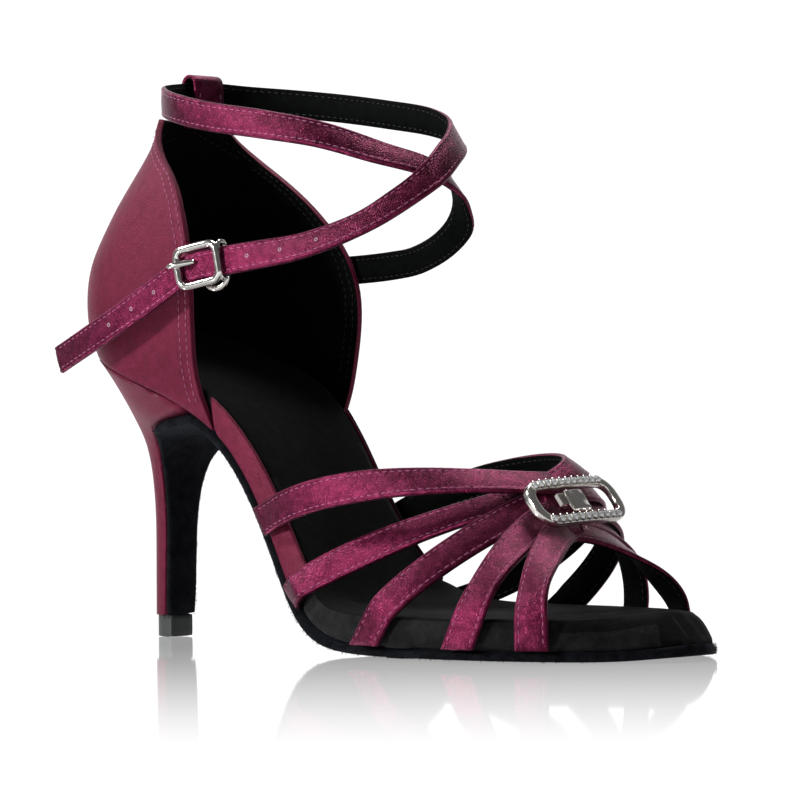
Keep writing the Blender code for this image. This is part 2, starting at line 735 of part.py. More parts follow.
def ankle_strap():
    path = ankle_path()
    rings = []
    for i, (point, lean) in enumerate(zip(path, ankle_leans())):
        along = (path[min(i + 1, len(path) - 1)] - path[max(i - 1, 0)]).normalized()
        inward = Vector((along.y, -along.x, 0)).normalized() * math.cos(math.radians(lean))
        inward.z = -math.sin(math.radians(lean))
        across = inward.cross(along).normalized()
        inward = along.cross(across).normalized()
        rings.append(
            strap_section(point - inward * ANKLE_STRAP / 2, across, inward, ANKLE_STRAP_WIDTH, ANKLE_STRAP)
        )
    return loft("ankle_strap", rings, "satin")


# The loop on the back of the quarter that the ankle strap runs through
def back_loop():
    strap = [p for p in ankle_path() if p.z > 0.94 * ANKLE_HEIGHT and abs(p.y - LOOP_SIDE) < LOOP_WIDTH / 2 + 0.001]
    near = min(p.x for p in strap) - ANKLE_STRAP / 2 - 2 * GAP - LOOP / 2
    far = max(p.x for p in strap) + ANKLE_STRAP / 2 + GAP + LOOP_SLACK + LOOP / 2
    middle = sum(p.z for p in strap) / len(strap)
    top = max(p.z for p in strap) + ANKLE_STRAP_WIDTH / 2 + 3 * GAP + LOOP / 2
    low = middle - ANKLE_STRAP_WIDTH / 2 - 0.0016
    radius = (far - near) / 2
    tail = QUARTER[-1].back * SHOE_LENGTH + WALL * 1.15 + GAP + LOOP / 2 + LOOP_CLEAR
    lean = 0.5 * (QUARTER[-1].back - QUARTER[-2].back) * SHOE_LENGTH
    drop = 0.5 * (QUARTER[-1].back_height - QUARTER[-2].back_height) * COUNTER_HEIGHT
    line = [(tail - lean, COUNTER_HEIGHT - drop), (tail, COUNTER_HEIGHT), (near, low), (near, top - radius)]
    for i in range(1, 6):
        a = math.pi * i / 6
        line.append(((near + far) / 2 - radius * math.cos(a), top - radius + radius * math.sin(a)))
    line += [(far, top - radius), (far, low), (tail + LOOP + GAP, COUNTER_HEIGHT), (tail + LOOP + GAP - lean, COUNTER_HEIGHT - drop)]
    line = [Vector((x, LOOP_SIDE, z)) for x, z in line]
    rings = []
    for i, point in enumerate(line):
        tangent = (line[min(i + 1, len(line) - 1)] - line[max(i - 1, 0)]).normalized()
        outward = Vector((0, 1, 0)).cross(tangent)
        rings.append(
            strap_section(point - outward * LOOP / 2, Vector((0, 1, 0)), outward, LOOP_WIDTH, LOOP)
        )
    return loft("back_loop", rings, "satin")


# The buckle, laid out on the ankle strap's outer face: a runs back along the strap, b up, c outward
def buckle_axes(place):
    path = ankle_path()
    last = len(path) - 1
    i = min(range(len(path) // 2, last), key=lambda k: abs(path[k].x - place) + (path[k].y > 0))
    back = (path[i + 1] - path[i - 1]).normalized()
    out = Vector((back.y, -back.x, 0)).normalized()
    if out.y > 0:
        out.negate()
    up = out.cross(back).normalized()
    if up.z < 0:
        up.negate()
    return path[i] + out * ANKLE_STRAP / 2, back, up, out


def rounded_loop(length, width, radius, per_corner=5):
    """Points round a rounded rectangle, each with the direction out of it."""
    points = []
    for k, (a, b) in enumerate(((1, 1), (-1, 1), (-1, -1), (1, -1))):
        for i in range(per_corner + 1):
            turn = math.pi / 2 * (k + i / per_corner)
            out = (math.cos(turn), math.sin(turn))
            points.append(
                (a * (length / 2 - radius) + radius * out[0], b * (width / 2 - radius) + radius * out[1], *out)
            )
    return points


def round_section(radius, sides=8):
    return [
        (radius * math.cos(2 * math.pi * (i + 0.5) / sides), radius * math.sin(2 * math.pi * (i + 0.5) / sides))
        for i in range(sides)
    ]


def swept_loop(name, loop, section, place, finish):
    """A closed bar: section's first coordinate runs out of the loop, its second out of its plane."""
    rings = [[place(a + out_a * s, b + out_b * s, t) for s, t in section] for a, b, out_a, out_b in loop]
    return loft(name, rings, finish, round_trip=True)


def buckle():
    origin, back, up, out = buckle_axes(BUCKLE_PLACE)
    radius = BUCKLE_BAR / 2

    def place(a, b, c):
        return origin + back * a + up * b + out * (c + GAP + radius)

    loop = rounded_loop(BUCKLE_LENGTH - BUCKLE_BAR, BUCKLE_WIDTH - BUCKLE_BAR, 0.0026)
    swept_loop("buckle_frame", loop, round_section(radius), place, "nickel")

    # the prong comes out of a hole in the strap and rests on the rear bar
    rear = (BUCKLE_LENGTH - BUCKLE_BAR) / 2
    over = 2 * radius + GAP
    prong = (
        (rear - 0.0058, -0.0001, 0.0005), (rear - 0.0045, 0.0008, 0.0007), (rear - 0.0015, over - 0.0004, 0.0007),
        (rear, over, 0.0007), (rear + 0.0015, over - 0.0002, 0.0006), (rear + 0.0022, over - 0.0005, 0.0003),
    )
    rings = []
    for a, c, r in prong:
        rings.append([place(a, 0.0012 + s, c + t) for s, t in round_section(r)])
    loft("buckle_prong", rings, "nickel")

    # the keeper goes round the strap just in front of the frame
    origin_k, back_k, up_k, out_k = buckle_axes(BUCKLE_PLACE + BUCKLE_LENGTH / 2 + 0.0022)
    wire = KEEPER_WIRE / 2
    keeper = rounded_loop(
        ANKLE_STRAP_WIDTH + 2 * (GAP + wire) + 0.0006, ANKLE_STRAP + 2 * (GAP + wire) + 0.0004, 0.0012, 3
    )

    def place_keeper(a, b, c):
        return origin_k + up_k * a + out_k * (b - ANKLE_STRAP / 2) + back_k * c

    swept_loop("buckle_keeper", keeper, round_section(wire, 6), place_keeper, "nickel")

    # the hook hangs under the frame
    rings = []
    for i in range(11):
        turn = math.radians(200 + 140 * i / 10)
        thick = 0.0004 + 0.0007 * math.sin(math.pi * i / 10)
        centre = (-0.0035 + 0.0042 * math.cos(turn), -0.0036 + 0.0036 * math.sin(turn))
        rings.append([
            place(centre[0] + s * math.cos(turn), centre[1] + s * math.sin(turn), t - 0.0030)
            for s, t in round_section(thick, 6)
        ])
    loft("buckle_hook", rings, "nickel")


# The ornament: a closed crowned band with a square plate in it, over the knot
def knot_slope():
    first, last = crest_of(VAMP[0]), crest_of(VAMP[-1])
    return math.atan2(first.z - last.z, last.x - first.x)


def ornament_place(a, b, c):
    tilt, turn = knot_slope() + math.radians(ORNAMENT_TILT), math.radians(ORNAMENT_TURN)
    a, b = a * math.cos(turn) - b * math.sin(turn), a * math.sin(turn) + b * math.cos(turn)
    c -= ORNAMENT_CROWN * (2 * a / ORNAMENT_LENGTH) ** 2
    up = Vector((-math.cos(tilt), 0, math.sin(tilt)))
    out = Vector((math.sin(tilt), 0, math.cos(tilt)))
    centre = crest_of(VAMP[2]) + out * ORNAMENT_RISE - up * ORNAMENT_SLIDE
    return centre + Vector((0, 1, 0)) * (ORNAMENT_SHIFT + a) + up * b + out * c


def ornament():
    half, high = ORNAMENT_BAND / 2, ORNAMENT / 2
    loop = rounded_loop(ORNAMENT_LENGTH - ORNAMENT_BAND, ORNAMENT_WIDTH - ORNAMENT_BAND, 0.0045, 6)
    longer = []
    for here, there in zip(loop, loop[1:] + loop[:1]):
        longer.append(here)
        gap = math.hypot(there[0] - here[0], there[1] - here[1])
        pieces = max(int(gap / 0.003), 1)
        longer += [
            tuple(h + (t - h) * k / pieces for h, t in zip(here, there)) for k in range(1, pieces)
        ]
    section = ((half, -high), (half, high * 0.4), (half * 0.8, high), (-half * 0.8, high), (-half, high * 0.4), (-half, -high))
    swept_loop("ornament_ring", longer, section, ornament_place, "silver")
    side = ORNAMENT_WIDTH - 2 * ORNAMENT_BAND - 2 * GAP
    plate = rounded_loop(side, side, 0.0006, 2)
    rings = [
        [ornament_place(a - inset * na, b - inset * nb, c) for a, b, na, nb in plate]
        for inset, c in ((0.0, -high), (0.0, high * 0.5), (0.0005, high))
    ]
    loft("ornament_plate", rings, "silver")


clear_scene()
outsole()
footbed()
rand("arch_rand_lateral", 0)
rand("arch_rand_medial", 1)
heel()
top_piece()
quarter()
vamp_straps()
ankle_strap()
back_loop()
buckle()
ornament()
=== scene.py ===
# %% [markdown]
# # A Latin dance sandal
# This lesson dresses a finished CAD model of a right dance sandal: satin straps with their
# stitching, a suede sock and outsole, a polished buckle and an ornament with cut stones. The CAD
# solids give every size and place. They are plain on purpose, so each one gets its real finish here.

# %% Load the model
import math
import random
from collections import namedtuple

import bmesh
import bpy
from mathutils import Matrix, Vector
from mathutils.bvhtree import BVHTree


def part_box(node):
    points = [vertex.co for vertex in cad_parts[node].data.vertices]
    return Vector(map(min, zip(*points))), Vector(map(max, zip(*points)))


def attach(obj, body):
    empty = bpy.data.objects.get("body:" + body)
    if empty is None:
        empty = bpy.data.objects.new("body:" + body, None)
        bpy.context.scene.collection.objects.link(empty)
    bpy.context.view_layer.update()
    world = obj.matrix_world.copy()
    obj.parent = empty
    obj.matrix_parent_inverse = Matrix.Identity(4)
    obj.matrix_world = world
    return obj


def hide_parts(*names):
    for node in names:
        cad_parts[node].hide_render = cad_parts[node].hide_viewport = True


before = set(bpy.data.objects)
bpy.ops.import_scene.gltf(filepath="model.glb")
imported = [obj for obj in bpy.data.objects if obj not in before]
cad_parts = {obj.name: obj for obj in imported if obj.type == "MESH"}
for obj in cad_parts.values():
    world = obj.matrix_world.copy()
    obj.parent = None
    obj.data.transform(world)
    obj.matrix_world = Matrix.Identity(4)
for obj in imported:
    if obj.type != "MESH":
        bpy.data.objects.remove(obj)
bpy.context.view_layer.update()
MM = 0.001
print("CAD nodes:", ", ".join(sorted(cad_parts)))

# %% [markdown]
# ## The camera
# A product photo of a shoe is taken from far away with a long lens, so that it isn't distorted.
# Here the camera stands 1.12 m off, 68 mm above the floor, and looks level at the shoe from 43
# degrees off its outer side. A small shift frames the shoe as in the photo. The focal length and
# the picture's centre are in pixels of an 800-pixel picture.

# %% Camera
CAMERA_TURN, CAMERA_ROLL = math.radians(43), math.radians(-0.5)
CAMERA_DISTANCE, CAMERA_HEIGHT, AIM_FORWARD = 1.12, 68 * MM, 85 * MM
PICTURE, FOCAL_LENGTH, CENTRE_ACROSS, CENTRE_DOWN = 800, 4046, 383.2, 400.2
SENSOR = 36.0
camera_data = bpy.data.cameras.new("camera")
camera = bpy.data.objects.new("camera", camera_data)
bpy.context.scene.collection.objects.link(camera)
bpy.context.scene.camera = camera
camera.location = (
    AIM_FORWARD + CAMERA_DISTANCE * math.sin(CAMERA_TURN),
    -CAMERA_DISTANCE * math.cos(CAMERA_TURN),
    CAMERA_HEIGHT,
)
level = Matrix.Rotation(math.radians(90), 4, "X")
roll = Matrix.Rotation(CAMERA_ROLL, 4, "Z")
camera.rotation_euler = (Matrix.Rotation(CAMERA_TURN, 4, "Z") @ level @ roll).to_euler()
camera_data.sensor_width = SENSOR
camera_data.lens = FOCAL_LENGTH / PICTURE * SENSOR
camera_data.shift_x = (PICTURE / 2 - CENTRE_ACROSS) / PICTURE
camera_data.shift_y = (CENTRE_DOWN - PICTURE / 2) / PICTURE
print("camera at", [round(c, 3) for c in camera.location])

# %% [markdown]
# ## Finishes
# Each finish is a Principled BSDF with its detail made from noise on Object coordinates, in
# metres, so that grain and nap keep their real size. A small helper lays the noise over the
# surface's height, its colour or its gloss.

# %% A helper for finishes
class Finish:
    """A material, and the bump layers laid over each other on it."""

    def __init__(self, name, colour, roughness, **values):
        self.material = bpy.data.materials.new(name)
        self.material.use_nodes = True
        self.nodes = self.material.node_tree.nodes
        self.links = self.material.node_tree.links
        self.shader = self.nodes["Principled BSDF"]
        self.place = self.nodes.new("ShaderNodeTexCoord").outputs["Object"]
        self.bump = None
        self.set("Base Color", (*colour, 1))
        self.set("Roughness", roughness)
        for socket, value in values.items():
            self.set(socket.replace("_", " "), value)

    def set(self, socket, value):
        self.shader.inputs[socket].default_value = value

    def noise(self, scale, detail=3.0, stretch=(1, 1, 1), roughness=0.5):
        mapping = self.nodes.new("ShaderNodeMapping")
        mapping.inputs["Scale"].default_value = stretch
        self.links.new(self.place, mapping.inputs["Vector"])
        noise = self.nodes.new("ShaderNodeTexNoise")
        noise.inputs["Scale"].default_value = scale
        noise.inputs["Detail"].default_value = detail
        noise.inputs["Roughness"].default_value = roughness
        self.links.new(mapping.outputs["Vector"], noise.inputs["Vector"])
        return noise.outputs["Fac"]

    def lift(self, height, strength, distance):
        bump = self.nodes.new("ShaderNodeBump")
        bump.inputs["Strength"].default_value = strength
        bump.inputs["Distance"].default_value = distance
        self.links.new(height, bump.inputs["Height"])
        if self.bump:
            self.links.new(self.bump, bump.inputs["Normal"])
        self.bump = bump.outputs["Normal"]
        self.links.new(self.bump, self.shader.inputs["Normal"])

    def colour(self, factor, stops):
        ramp = self.nodes.new("ShaderNodeValToRGB")
        elements = ramp.color_ramp.elements
        while len(elements) < len(stops):
            elements.new(0.5)
        for element, (at, colour) in zip(elements, stops):
            element.position = at
            element.color = (*colour, 1)
        self.links.new(factor, ramp.inputs["Fac"])
        self.links.new(ramp.outputs["Color"], self.shader.inputs["Base Color"])

    def gloss(self, factor, low, high):
        spread = self.nodes.new("ShaderNodeMapRange")
        spread.inputs["To Min"].default_value = low
        spread.inputs["To Max"].default_value = high
        self.links.new(factor, spread.inputs["Value"])
        self.links.new(spread.outputs["Result"], self.shader.inputs["Roughness"])


# %% [markdown]
# ### Satin
# Satin shines because its threads float over the weave. The shine has the colour of the dye and is
# grainy up close, while the rest of the cloth stays dark. So the shader is mostly metallic, with
# a fine grain that tilts the surface and a slow drift of the dye. The quarter and the heel wear
# the same cloth pulled tight, which shines less.

# %% Satin, and the thread that sews it
def satin_finish(name, dark, light, roughness, metal):
    finish = Finish(name, dark, roughness, Metallic=metal, Sheen_Weight=0.06, Sheen_Roughness=0.4)
    finish.set("Sheen Tint", (1.0, 0.45, 0.7, 1))
    finish.colour(finish.noise(420, 4), [(0.35, dark), (0.65, light)])
    finish.gloss(finish.noise(2400, 2), roughness - 0.08, roughness + 0.14)
    finish.lift(finish.noise(2900, 2, stretch=(1, 1, 0.6), roughness=0.6), 0.85, 0.00024)
    return finish


satin = satin_finish("satin", (0.082, 0.0066, 0.025), (0.150, 0.016, 0.052), 0.27, 0.85)
counter_satin = satin_finish("counter_satin", (0.105, 0.0085, 0.026), (0.138, 0.012, 0.036), 0.40, 0.30)
CLOTH_SPECULAR = 0.12
for cloth in (satin, counter_satin):
    cloth.set("Specular IOR Level", CLOTH_SPECULAR)
thread = Finish("pink_thread", (0.42, 0.12, 0.27), 0.5, Sheen_Weight=0.2)
thread.lift(thread.noise(5200, 2), 0.6, 0.0001)
black_thread = Finish("black_thread", (0.011, 0.011, 0.013), 0.6)
black_thread.lift(black_thread.noise(5200, 2), 0.6, 0.0001)
print("satin and thread ready")

# %% [markdown]
# ### Suede
# Suede has a short nap. It scatters light at grazing angles, which the shader calls sheen, and the
# nap lies in patches. The outsole is brushed rougher than the sock. The lining is the sock's black
# suede painted darker and less shiny, as painted shade on the faces turned in from the lamps.

# %% Suede for the sock, lining and outsole
def suede_finish(name, dark, light, nap, sheen, tint):
    finish = Finish(name, dark, 0.8, Sheen_Weight=sheen, Sheen_Roughness=0.45)
    finish.set("Sheen Tint", (*tint, 1))
    finish.set("Specular IOR Level", 0.05)
    finish.colour(finish.noise(300, 5, roughness=0.65), [(0.36, dark), (0.66, light)])
    finish.lift(finish.noise(nap, 4, roughness=0.7), 0.8, 0.0003)
    finish.lift(finish.noise(nap / 9, 3), 0.3, 0.0006)
    return finish


sock_suede = suede_finish(
    "sock_suede", (0.0018, 0.0019, 0.0021), (0.0052, 0.0053, 0.0058),
    nap=2200, sheen=0.022, tint=(0.8, 0.85, 0.9),
)
# Painted shade: the lining is the sock's black suede made about three times darker, with less sheen.
shade_darkened_lining = suede_finish(
    "shade_darkened_lining", (0.0007, 0.0009, 0.0010), (0.0018, 0.0022, 0.0023),
    nap=1800, sheen=0.006, tint=(0.7, 0.85, 0.85),
)
sole_suede = suede_finish(
    "sole_suede", (0.0022, 0.0024, 0.0032), (0.0085, 0.0090, 0.0120),
    nap=900, sheen=0.03, tint=(0.55, 0.62, 0.9),
)
# Painted light: the platform's walls wear the sock's suede painted about three times lighter, with more
# sheen.
painted_light_wall_suede = suede_finish(
    "painted_light_wall_suede", (0.0060, 0.0060, 0.0066), (0.0150, 0.0148, 0.0160),
    nap=1500, sheen=0.06, tint=(0.85, 0.82, 0.85),
)

# %% [markdown]
# ### Metal, stones and plastic
# Plated metal is a metal with low roughness and only a trace of hairline wear. A rhinestone has a
# mirror foil behind it, so a bright metal with flat facets and a clear coat reads as one.

# %% Metal, stones and plastic
nickel = Finish("nickel", (0.78, 0.76, 0.73), 0.14, Metallic=1.0)
nickel.gloss(nickel.noise(900, 2), 0.08, 0.2)
silver = Finish("silver", (0.86, 0.83, 0.78), 0.2, Metallic=1.0)
silver.gloss(silver.noise(700, 2), 0.12, 0.24)
silver.lift(silver.noise(500, 2), 0.12, 0.0002)
stone = Finish("stone", (0.95, 0.96, 0.98), 0.04, Metallic=0.45, Coat_Weight=1.0, Coat_Roughness=0.02)
hole_rim = Finish("hole_rim", (0.40, 0.27, 0.31), 0.5)
# Painted shade: a dark disc that stands for the open middle of a punched hole.
hole_painted_shade = Finish("hole_middle_painted_shade", (0.02, 0.008, 0.012), 0.8)
tip_plastic = Finish("tip_plastic", (0.030, 0.036, 0.034), 0.42)
tip_plastic.lift(tip_plastic.noise(1500, 3), 0.2, 0.0001)
tip_plastic.gloss(tip_plastic.noise(300, 3), 0.35, 0.55)

# %% [markdown]
# ## Working from the CAD solids
# A CAD node is loose triangles. A copy with its doubles merged and its triangles joined into quads
# can be rounded with a Subdivision Surface, as long as its real corners are creased.


def finish_piece(name, mesh, finishes, *replaced, smooth=True):
    piece = bpy.data.objects.new(name, mesh)
    bpy.context.scene.collection.objects.link(piece)
    for finish in finishes:
        mesh.materials.append(finish.material)
    if smooth:
        mesh.shade_smooth()
    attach(piece, "root")
    for node in replaced:
        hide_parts(node)
    return piece


def finish_body(name, body, finishes, *replaced, smooth=True):
    """A piece made from a bmesh, which is freed."""
    mesh = bpy.data.meshes.new(name)
    body.to_mesh(mesh)
    body.free()
    print(name, len(mesh.polygons), "faces")
    return finish_piece(name, mesh, finishes, *replaced, smooth=smooth)


def merged_copy(node):
    """The node's mesh as a bmesh, with doubles merged and flat triangle pairs joined."""
    solid = bmesh.new()
    solid.from_mesh(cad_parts[node].data)
    bmesh.ops.remove_doubles(solid, verts=solid.verts, dist=2e-6)
    bmesh.ops.join_triangles(
        solid, faces=solid.faces,
        angle_face_threshold=math.radians(25), angle_shape_threshold=math.radians(80),
    )
    for face in solid.faces:
        face.material_index = 0
    return solid


def crease_corners(solid, sharpest, crease):
    layer = solid.edges.layers.float.get("crease_edge") or solid.edges.layers.float.new("crease_edge")
    for edge in solid.edges:
        if len(edge.link_faces) == 2 and edge.calc_face_angle(0) > math.radians(sharpest):
            edge[layer] = crease


def rounded(piece, levels):
    modifier = piece.modifiers.new("rounding", "SUBSURF")
    modifier.levels = levels
    modifier.render_levels = levels
    return piece


def from_node(node, name, finishes, levels=2, sharpest=40, crease=0.8, choose=None, shape=None, swell=0):
    """A rounded copy of a CAD node. choose gives a face's finish from its centre and direction, and
    shape moves a corner of the solid before it is rounded. swell moves the surface outwards."""
    solid = merged_copy(node)
    crease_corners(solid, sharpest, crease)
    solid.normal_update()
    for vert in solid.verts:
        vert.co += vert.normal * swell
    for vert in solid.verts if shape else ():
        shape(vert.co)
    if choose:
        for face in solid.faces:
            face.material_index = choose(face.calc_center_median(), face.normal)
    return rounded(finish_body(name, solid, finishes, node), levels)


# %% [markdown]
# ## Sewing
# A stitch is a short thread that dips into the cloth at both ends. Laid by hand each would be a
# tiny capsule, so one twenty-sided ball is stretched and put down along a line, over and over. A
# seam is a list of points with the direction out of the cloth.

# %% Helper for stitching
STITCH, STITCH_SPACING, STITCH_WIDTH = 1.55 * MM, 2.15 * MM, 0.26 * MM
STITCH_LEAN = 5


def along_line(points, spacing):
    """Points at an even spacing along a line, each with its direction."""
    placed, left = [], spacing / 2
    for here, there in zip(points, points[1:]):
        way = there - here
        length = way.length
        while left < length:
            placed.append((here + way * left / length, way.normalized()))
            left += spacing
        left -= length
    return placed


def sew(name, seams, finish):
    """seams holds pairs of a line and, for each of its points, the direction out of the cloth."""
    cloth = bmesh.new()
    chance = random.Random(7)
    for line, outs in seams:
        for point, way in along_line(line, STITCH_SPACING):
            nearest = min(range(len(line)), key=lambda i: (line[i] - point).length)
            out = outs[nearest]
            side = out.cross(way).normalized()
            out = way.cross(side).normalized()
            turn = Matrix((way, side, out)).transposed().to_4x4()
            size = Matrix.Diagonal((STITCH / 2, STITCH_WIDTH / 2, STITCH_WIDTH / 2.4, 1))
            lean = Matrix.Rotation(math.radians(chance.uniform(-STITCH_LEAN, STITCH_LEAN)), 4, "Z")
            bmesh.ops.create_icosphere(
                cloth, subdivisions=1, radius=1.0, matrix=Matrix.Translation(point) @ turn @ lean @ size
            )
    return finish_body(name, cloth, [finish])


# %% [markdown]
# ## Straps
# Every strap is a strip of satin turned in over its edges, with black suede lining behind. In
# section it is a flat loaf: rounded edges, a shallow channel where the stitches pull it down, and
# a slightly raised middle. The section is drawn once as a ring of points, then extruded from
# station to station along the strap.

# %% Helper for straps
STRAP_THICKNESS = 1.6 * MM
SEAM_IN = 1.3 * MM


def strap_section(width, thick):
    """(across, out, finish) round the section: 0 is satin, 1 lining."""
    half = width / 2
    right = [
        (half - 0.25 * MM, 0.06 * thick, 1),
        (half - 0.02 * MM, 0.32 * thick, 0),
        (half, 0.60 * thick, 0),
        (half - 0.25 * MM, 0.90 * thick, 0),
        (half - 0.65 * MM, 1.02 * thick, 0),
        (half - SEAM_IN, 0.92 * thick, 0),
        (half - SEAM_IN - 0.6 * MM, 1.0 * thick, 0),
        (0.0, 1.06 * thick, 0),
    ]
    left = [(-across, out, kind) for across, out, kind in reversed(right[:-1])]
    return right + left + [(0.0, 0.0, 1)]


def smooth_line(points, step):
    """Points at about one step apart on a smooth curve through the given ones."""
    line = []
    for i in range(len(points) - 1):
        a, b = points[max(i - 1, 0)], points[i]
        c, d = points[i + 1], points[min(i + 2, len(points) - 1)]
        pieces = max(int((c - b).length / step), 1)
        for k in range(pieces):
            t = k / pieces
            square, cube = 2 * a - 5 * b + 4 * c - d, 3 * b - a - 3 * c + d
            line.append(0.5 * (2 * b + (c - a) * t + square * t**2 + cube * t**3))
    return line + [points[-1].copy()]


def sweep(stations, section):
    """A closed body: the section is extruded along stations of (origin, across, out)."""
    body = bmesh.new()
    origin, across, out = stations[0]
    ring = [body.verts.new(origin + across * a + out * c) for a, c, kind in section]
    edges = [body.edges.new((ring[i], ring[(i + 1) % len(ring)])) for i in range(len(ring))]
    start = body.faces.new(ring)
    for origin, across, out in stations[1:]:
        made = bmesh.ops.extrude_edge_only(body, edges=edges)["geom"]
        edges = [item for item in made if isinstance(item, bmesh.types.BMEdge)]
        fresh = [item for item in made if isinstance(item, bmesh.types.BMVert)]
        old = {vert: k for k, vert in enumerate(ring)}
        following = [None] * len(ring)
        for vert in fresh:
            for edge in vert.link_edges:
                other = edge.other_vert(vert)
                if other in old:
                    following[old[other]] = vert
        for vert, (a, c, kind) in zip(following, section):
            vert.co = origin + across * a + out * c
        for k, vert in enumerate(following):
            after = following[(k + 1) % len(following)]
            edge = body.edges.get((vert, after))
            for face in edge.link_faces:
                face.material_index = max(section[k][2], section[(k + 1) % len(section)][2])
        ring = following
        edges = [body.edges.get((ring[i], ring[(i + 1) % len(ring)])) for i in range(len(ring))]
    body.faces.new(list(reversed(ring)))
    bmesh.ops.recalc_face_normals(body, faces=body.faces)
    return body


# The strap's back gets the lining suede, painted darker as shade.
def strap(name, stations, width, *replaced):
    body = sweep(stations, strap_section(width, STRAP_THICKNESS))
    return finish_body(name, body, [satin, shade_darkened_lining], *replaced)


def seam_lines(stations, width, height=0.95 * STRAP_THICKNESS, skip=0):
    """The two stitch lines on a strap's outer face."""
    seams = []
    span = slice(skip, len(stations) - skip)
    for side in (-1, 1):
        at = side * (width / 2 - SEAM_IN)
        line = [origin + across * at + out * height for origin, across, out in stations]
        seams.append((line[span], [out for origin, across, out in stations][span]))
    return seams


# %% [markdown]
# ## The ankle strap
# One long strap does two jobs. It starts at the inner side of the quarter, turns round the front
# of the ankle, goes once round the back through the loop and crosses over itself to the buckle.
# Its route is the CAD model's: points along its middle line, as shares of its length, half width
# and height, each with how far the strap's upper edge leans to the ankle.

# %% The ankle strap's route
ANKLE_LENGTH, ANKLE_HALF_WIDTH, ANKLE_HEIGHT = 100 * MM, 34 * MM, 160 * MM
ANKLE_WIDTH = 8.2 * MM
RoutePoint = namedtuple("RoutePoint", "forward inward up lean")
ANKLE_ROUTE = (
    RoutePoint(0.420, 0.850, 0.659, 0),
    RoutePoint(0.520, 0.850, 0.661, 4),
    RoutePoint(0.630, 0.830, 0.665, 14),
    RoutePoint(0.740, 0.785, 0.673, 30),
    RoutePoint(0.865, 0.703, 0.697, 46),
    RoutePoint(0.957, 0.618, 0.732, 52),
    RoutePoint(1.000, 0.476, 0.772, 50),
    RoutePoint(1.018, 0.271, 0.803, 46),
    RoutePoint(1.000, 0.029, 0.827, 44),
    RoutePoint(0.935, -0.300, 0.849, 42),
    RoutePoint(0.800, -0.559, 0.881, 32),
    RoutePoint(0.620, -0.721, 0.904, 16),
    RoutePoint(0.440, -0.771, 0.922, 4),
    RoutePoint(0.280, -0.721, 0.944, 0),
    RoutePoint(0.165, -0.500, 0.962, 0),
    RoutePoint(0.112, -0.176, 0.972, 0),
    RoutePoint(0.112, 0.159, 0.978, 0),
    RoutePoint(0.175, 0.479, 0.972, 0),
    RoutePoint(0.300, 0.700, 0.963, 0),
    RoutePoint(0.460, 0.791, 0.950, 0),
    RoutePoint(0.640, 0.779, 0.933, 2),
    RoutePoint(0.800, 0.741, 0.916, 10),
    RoutePoint(0.920, 0.641, 0.894, 26),
    RoutePoint(0.997, 0.441, 0.872, 40),
    RoutePoint(1.043, 0.191, 0.846, 46),
    RoutePoint(1.063, -0.080, 0.808, 46),
    RoutePoint(1.020, -0.315, 0.767, 44),
    RoutePoint(0.938, -0.545, 0.725, 42),
    RoutePoint(0.800, -0.771, 0.690, 28),
    RoutePoint(0.640, -0.921, 0.674, 10),
    RoutePoint(0.520, -1.000, 0.664, 0),
    RoutePoint(0.440, -1.041, 0.654, 0),
    RoutePoint(0.340, -1.082, 0.620, 0),
    RoutePoint(0.200, -1.124, 0.573, 0),
    RoutePoint(0.060, -1.121, 0.534, 0),
    RoutePoint(-0.070, -1.079, 0.502, 0),
)


def ankle_stations(step):
    """Origin, across and out along the strap; the lean travels along as a fourth coordinate."""
    points = [
        Vector((p.forward * ANKLE_LENGTH, p.inward * ANKLE_HALF_WIDTH, p.up * ANKLE_HEIGHT, p.lean * MM / 10))
        for p in ANKLE_ROUTE
    ]
    line = smooth_line(points, step)
    stations = []
    for i, point in enumerate(line):
        along = (line[min(i + 1, len(line) - 1)] - line[max(i - 1, 0)]).to_3d().normalized()
        lean = math.radians(point.w * 10 / MM)
        out = Vector((-along.y, along.x, 0)).normalized() * math.cos(lean) + Vector((0, 0, math.sin(lean)))
        across = out.cross(along).normalized()
        out = along.cross(across).normalized()
        stations.append((point.to_3d() - out * STRAP_THICKNESS / 2, across, out))
    return stations


# %% Ankle strap
ankle_line = ankle_stations(1.3 * MM)
strap("ankle_strap_satin", ankle_line, ANKLE_WIDTH, "ankle_strap")
sew("ankle_stitches", seam_lines(ankle_line, ANKLE_WIDTH, skip=2), thread)
back_seams = []
for line, outs in seam_lines(ankle_line, ANKLE_WIDTH, height=0, skip=2):
    back_seams.append((line, [-out for out in outs]))
sew("ankle_lining_stitches", back_seams, black_thread)
ankle_length = sum((b[0] - a[0]).length for a, b in zip(ankle_line, ankle_line[1:]))
print("ankle strap", round(ankle_length / MM), "mm long")

# %% [markdown]
# ### Punched holes
# The buckle's prong goes through a punched hole. Each is a shallow ring of bared cloth with a dark
# middle, painted shade for the open hole, set on the strap's face. They are named by how far forward they
# lie.

# %% Punched holes
HOLE_PLACES = (16, 25, 33, 64, 73, 83)
HOLE_RADIUS = 0.65 * MM


def punch(body, centre, along, out):
    turn = Matrix.Translation(centre) @ Matrix((along, out.cross(along), out)).transposed().to_4x4()
    made = bmesh.ops.create_cone(
        body, cap_ends=True, segments=20,
        radius1=HOLE_RADIUS, radius2=0.8 * HOLE_RADIUS, depth=0.2 * MM, matrix=turn,
    )["verts"]
    caps = {face for vert in made for face in vert.link_faces}
    top = max(caps, key=lambda face: face.calc_center_median().dot(out))
    bmesh.ops.inset_region(body, faces=[top], thickness=0.3 * HOLE_RADIUS, depth=0)
    bmesh.ops.inset_region(body, faces=[top], thickness=0.03 * MM, depth=-0.15 * MM)
    # The sunken middle gets the painted shade of the open hole.
    top.material_index = 1


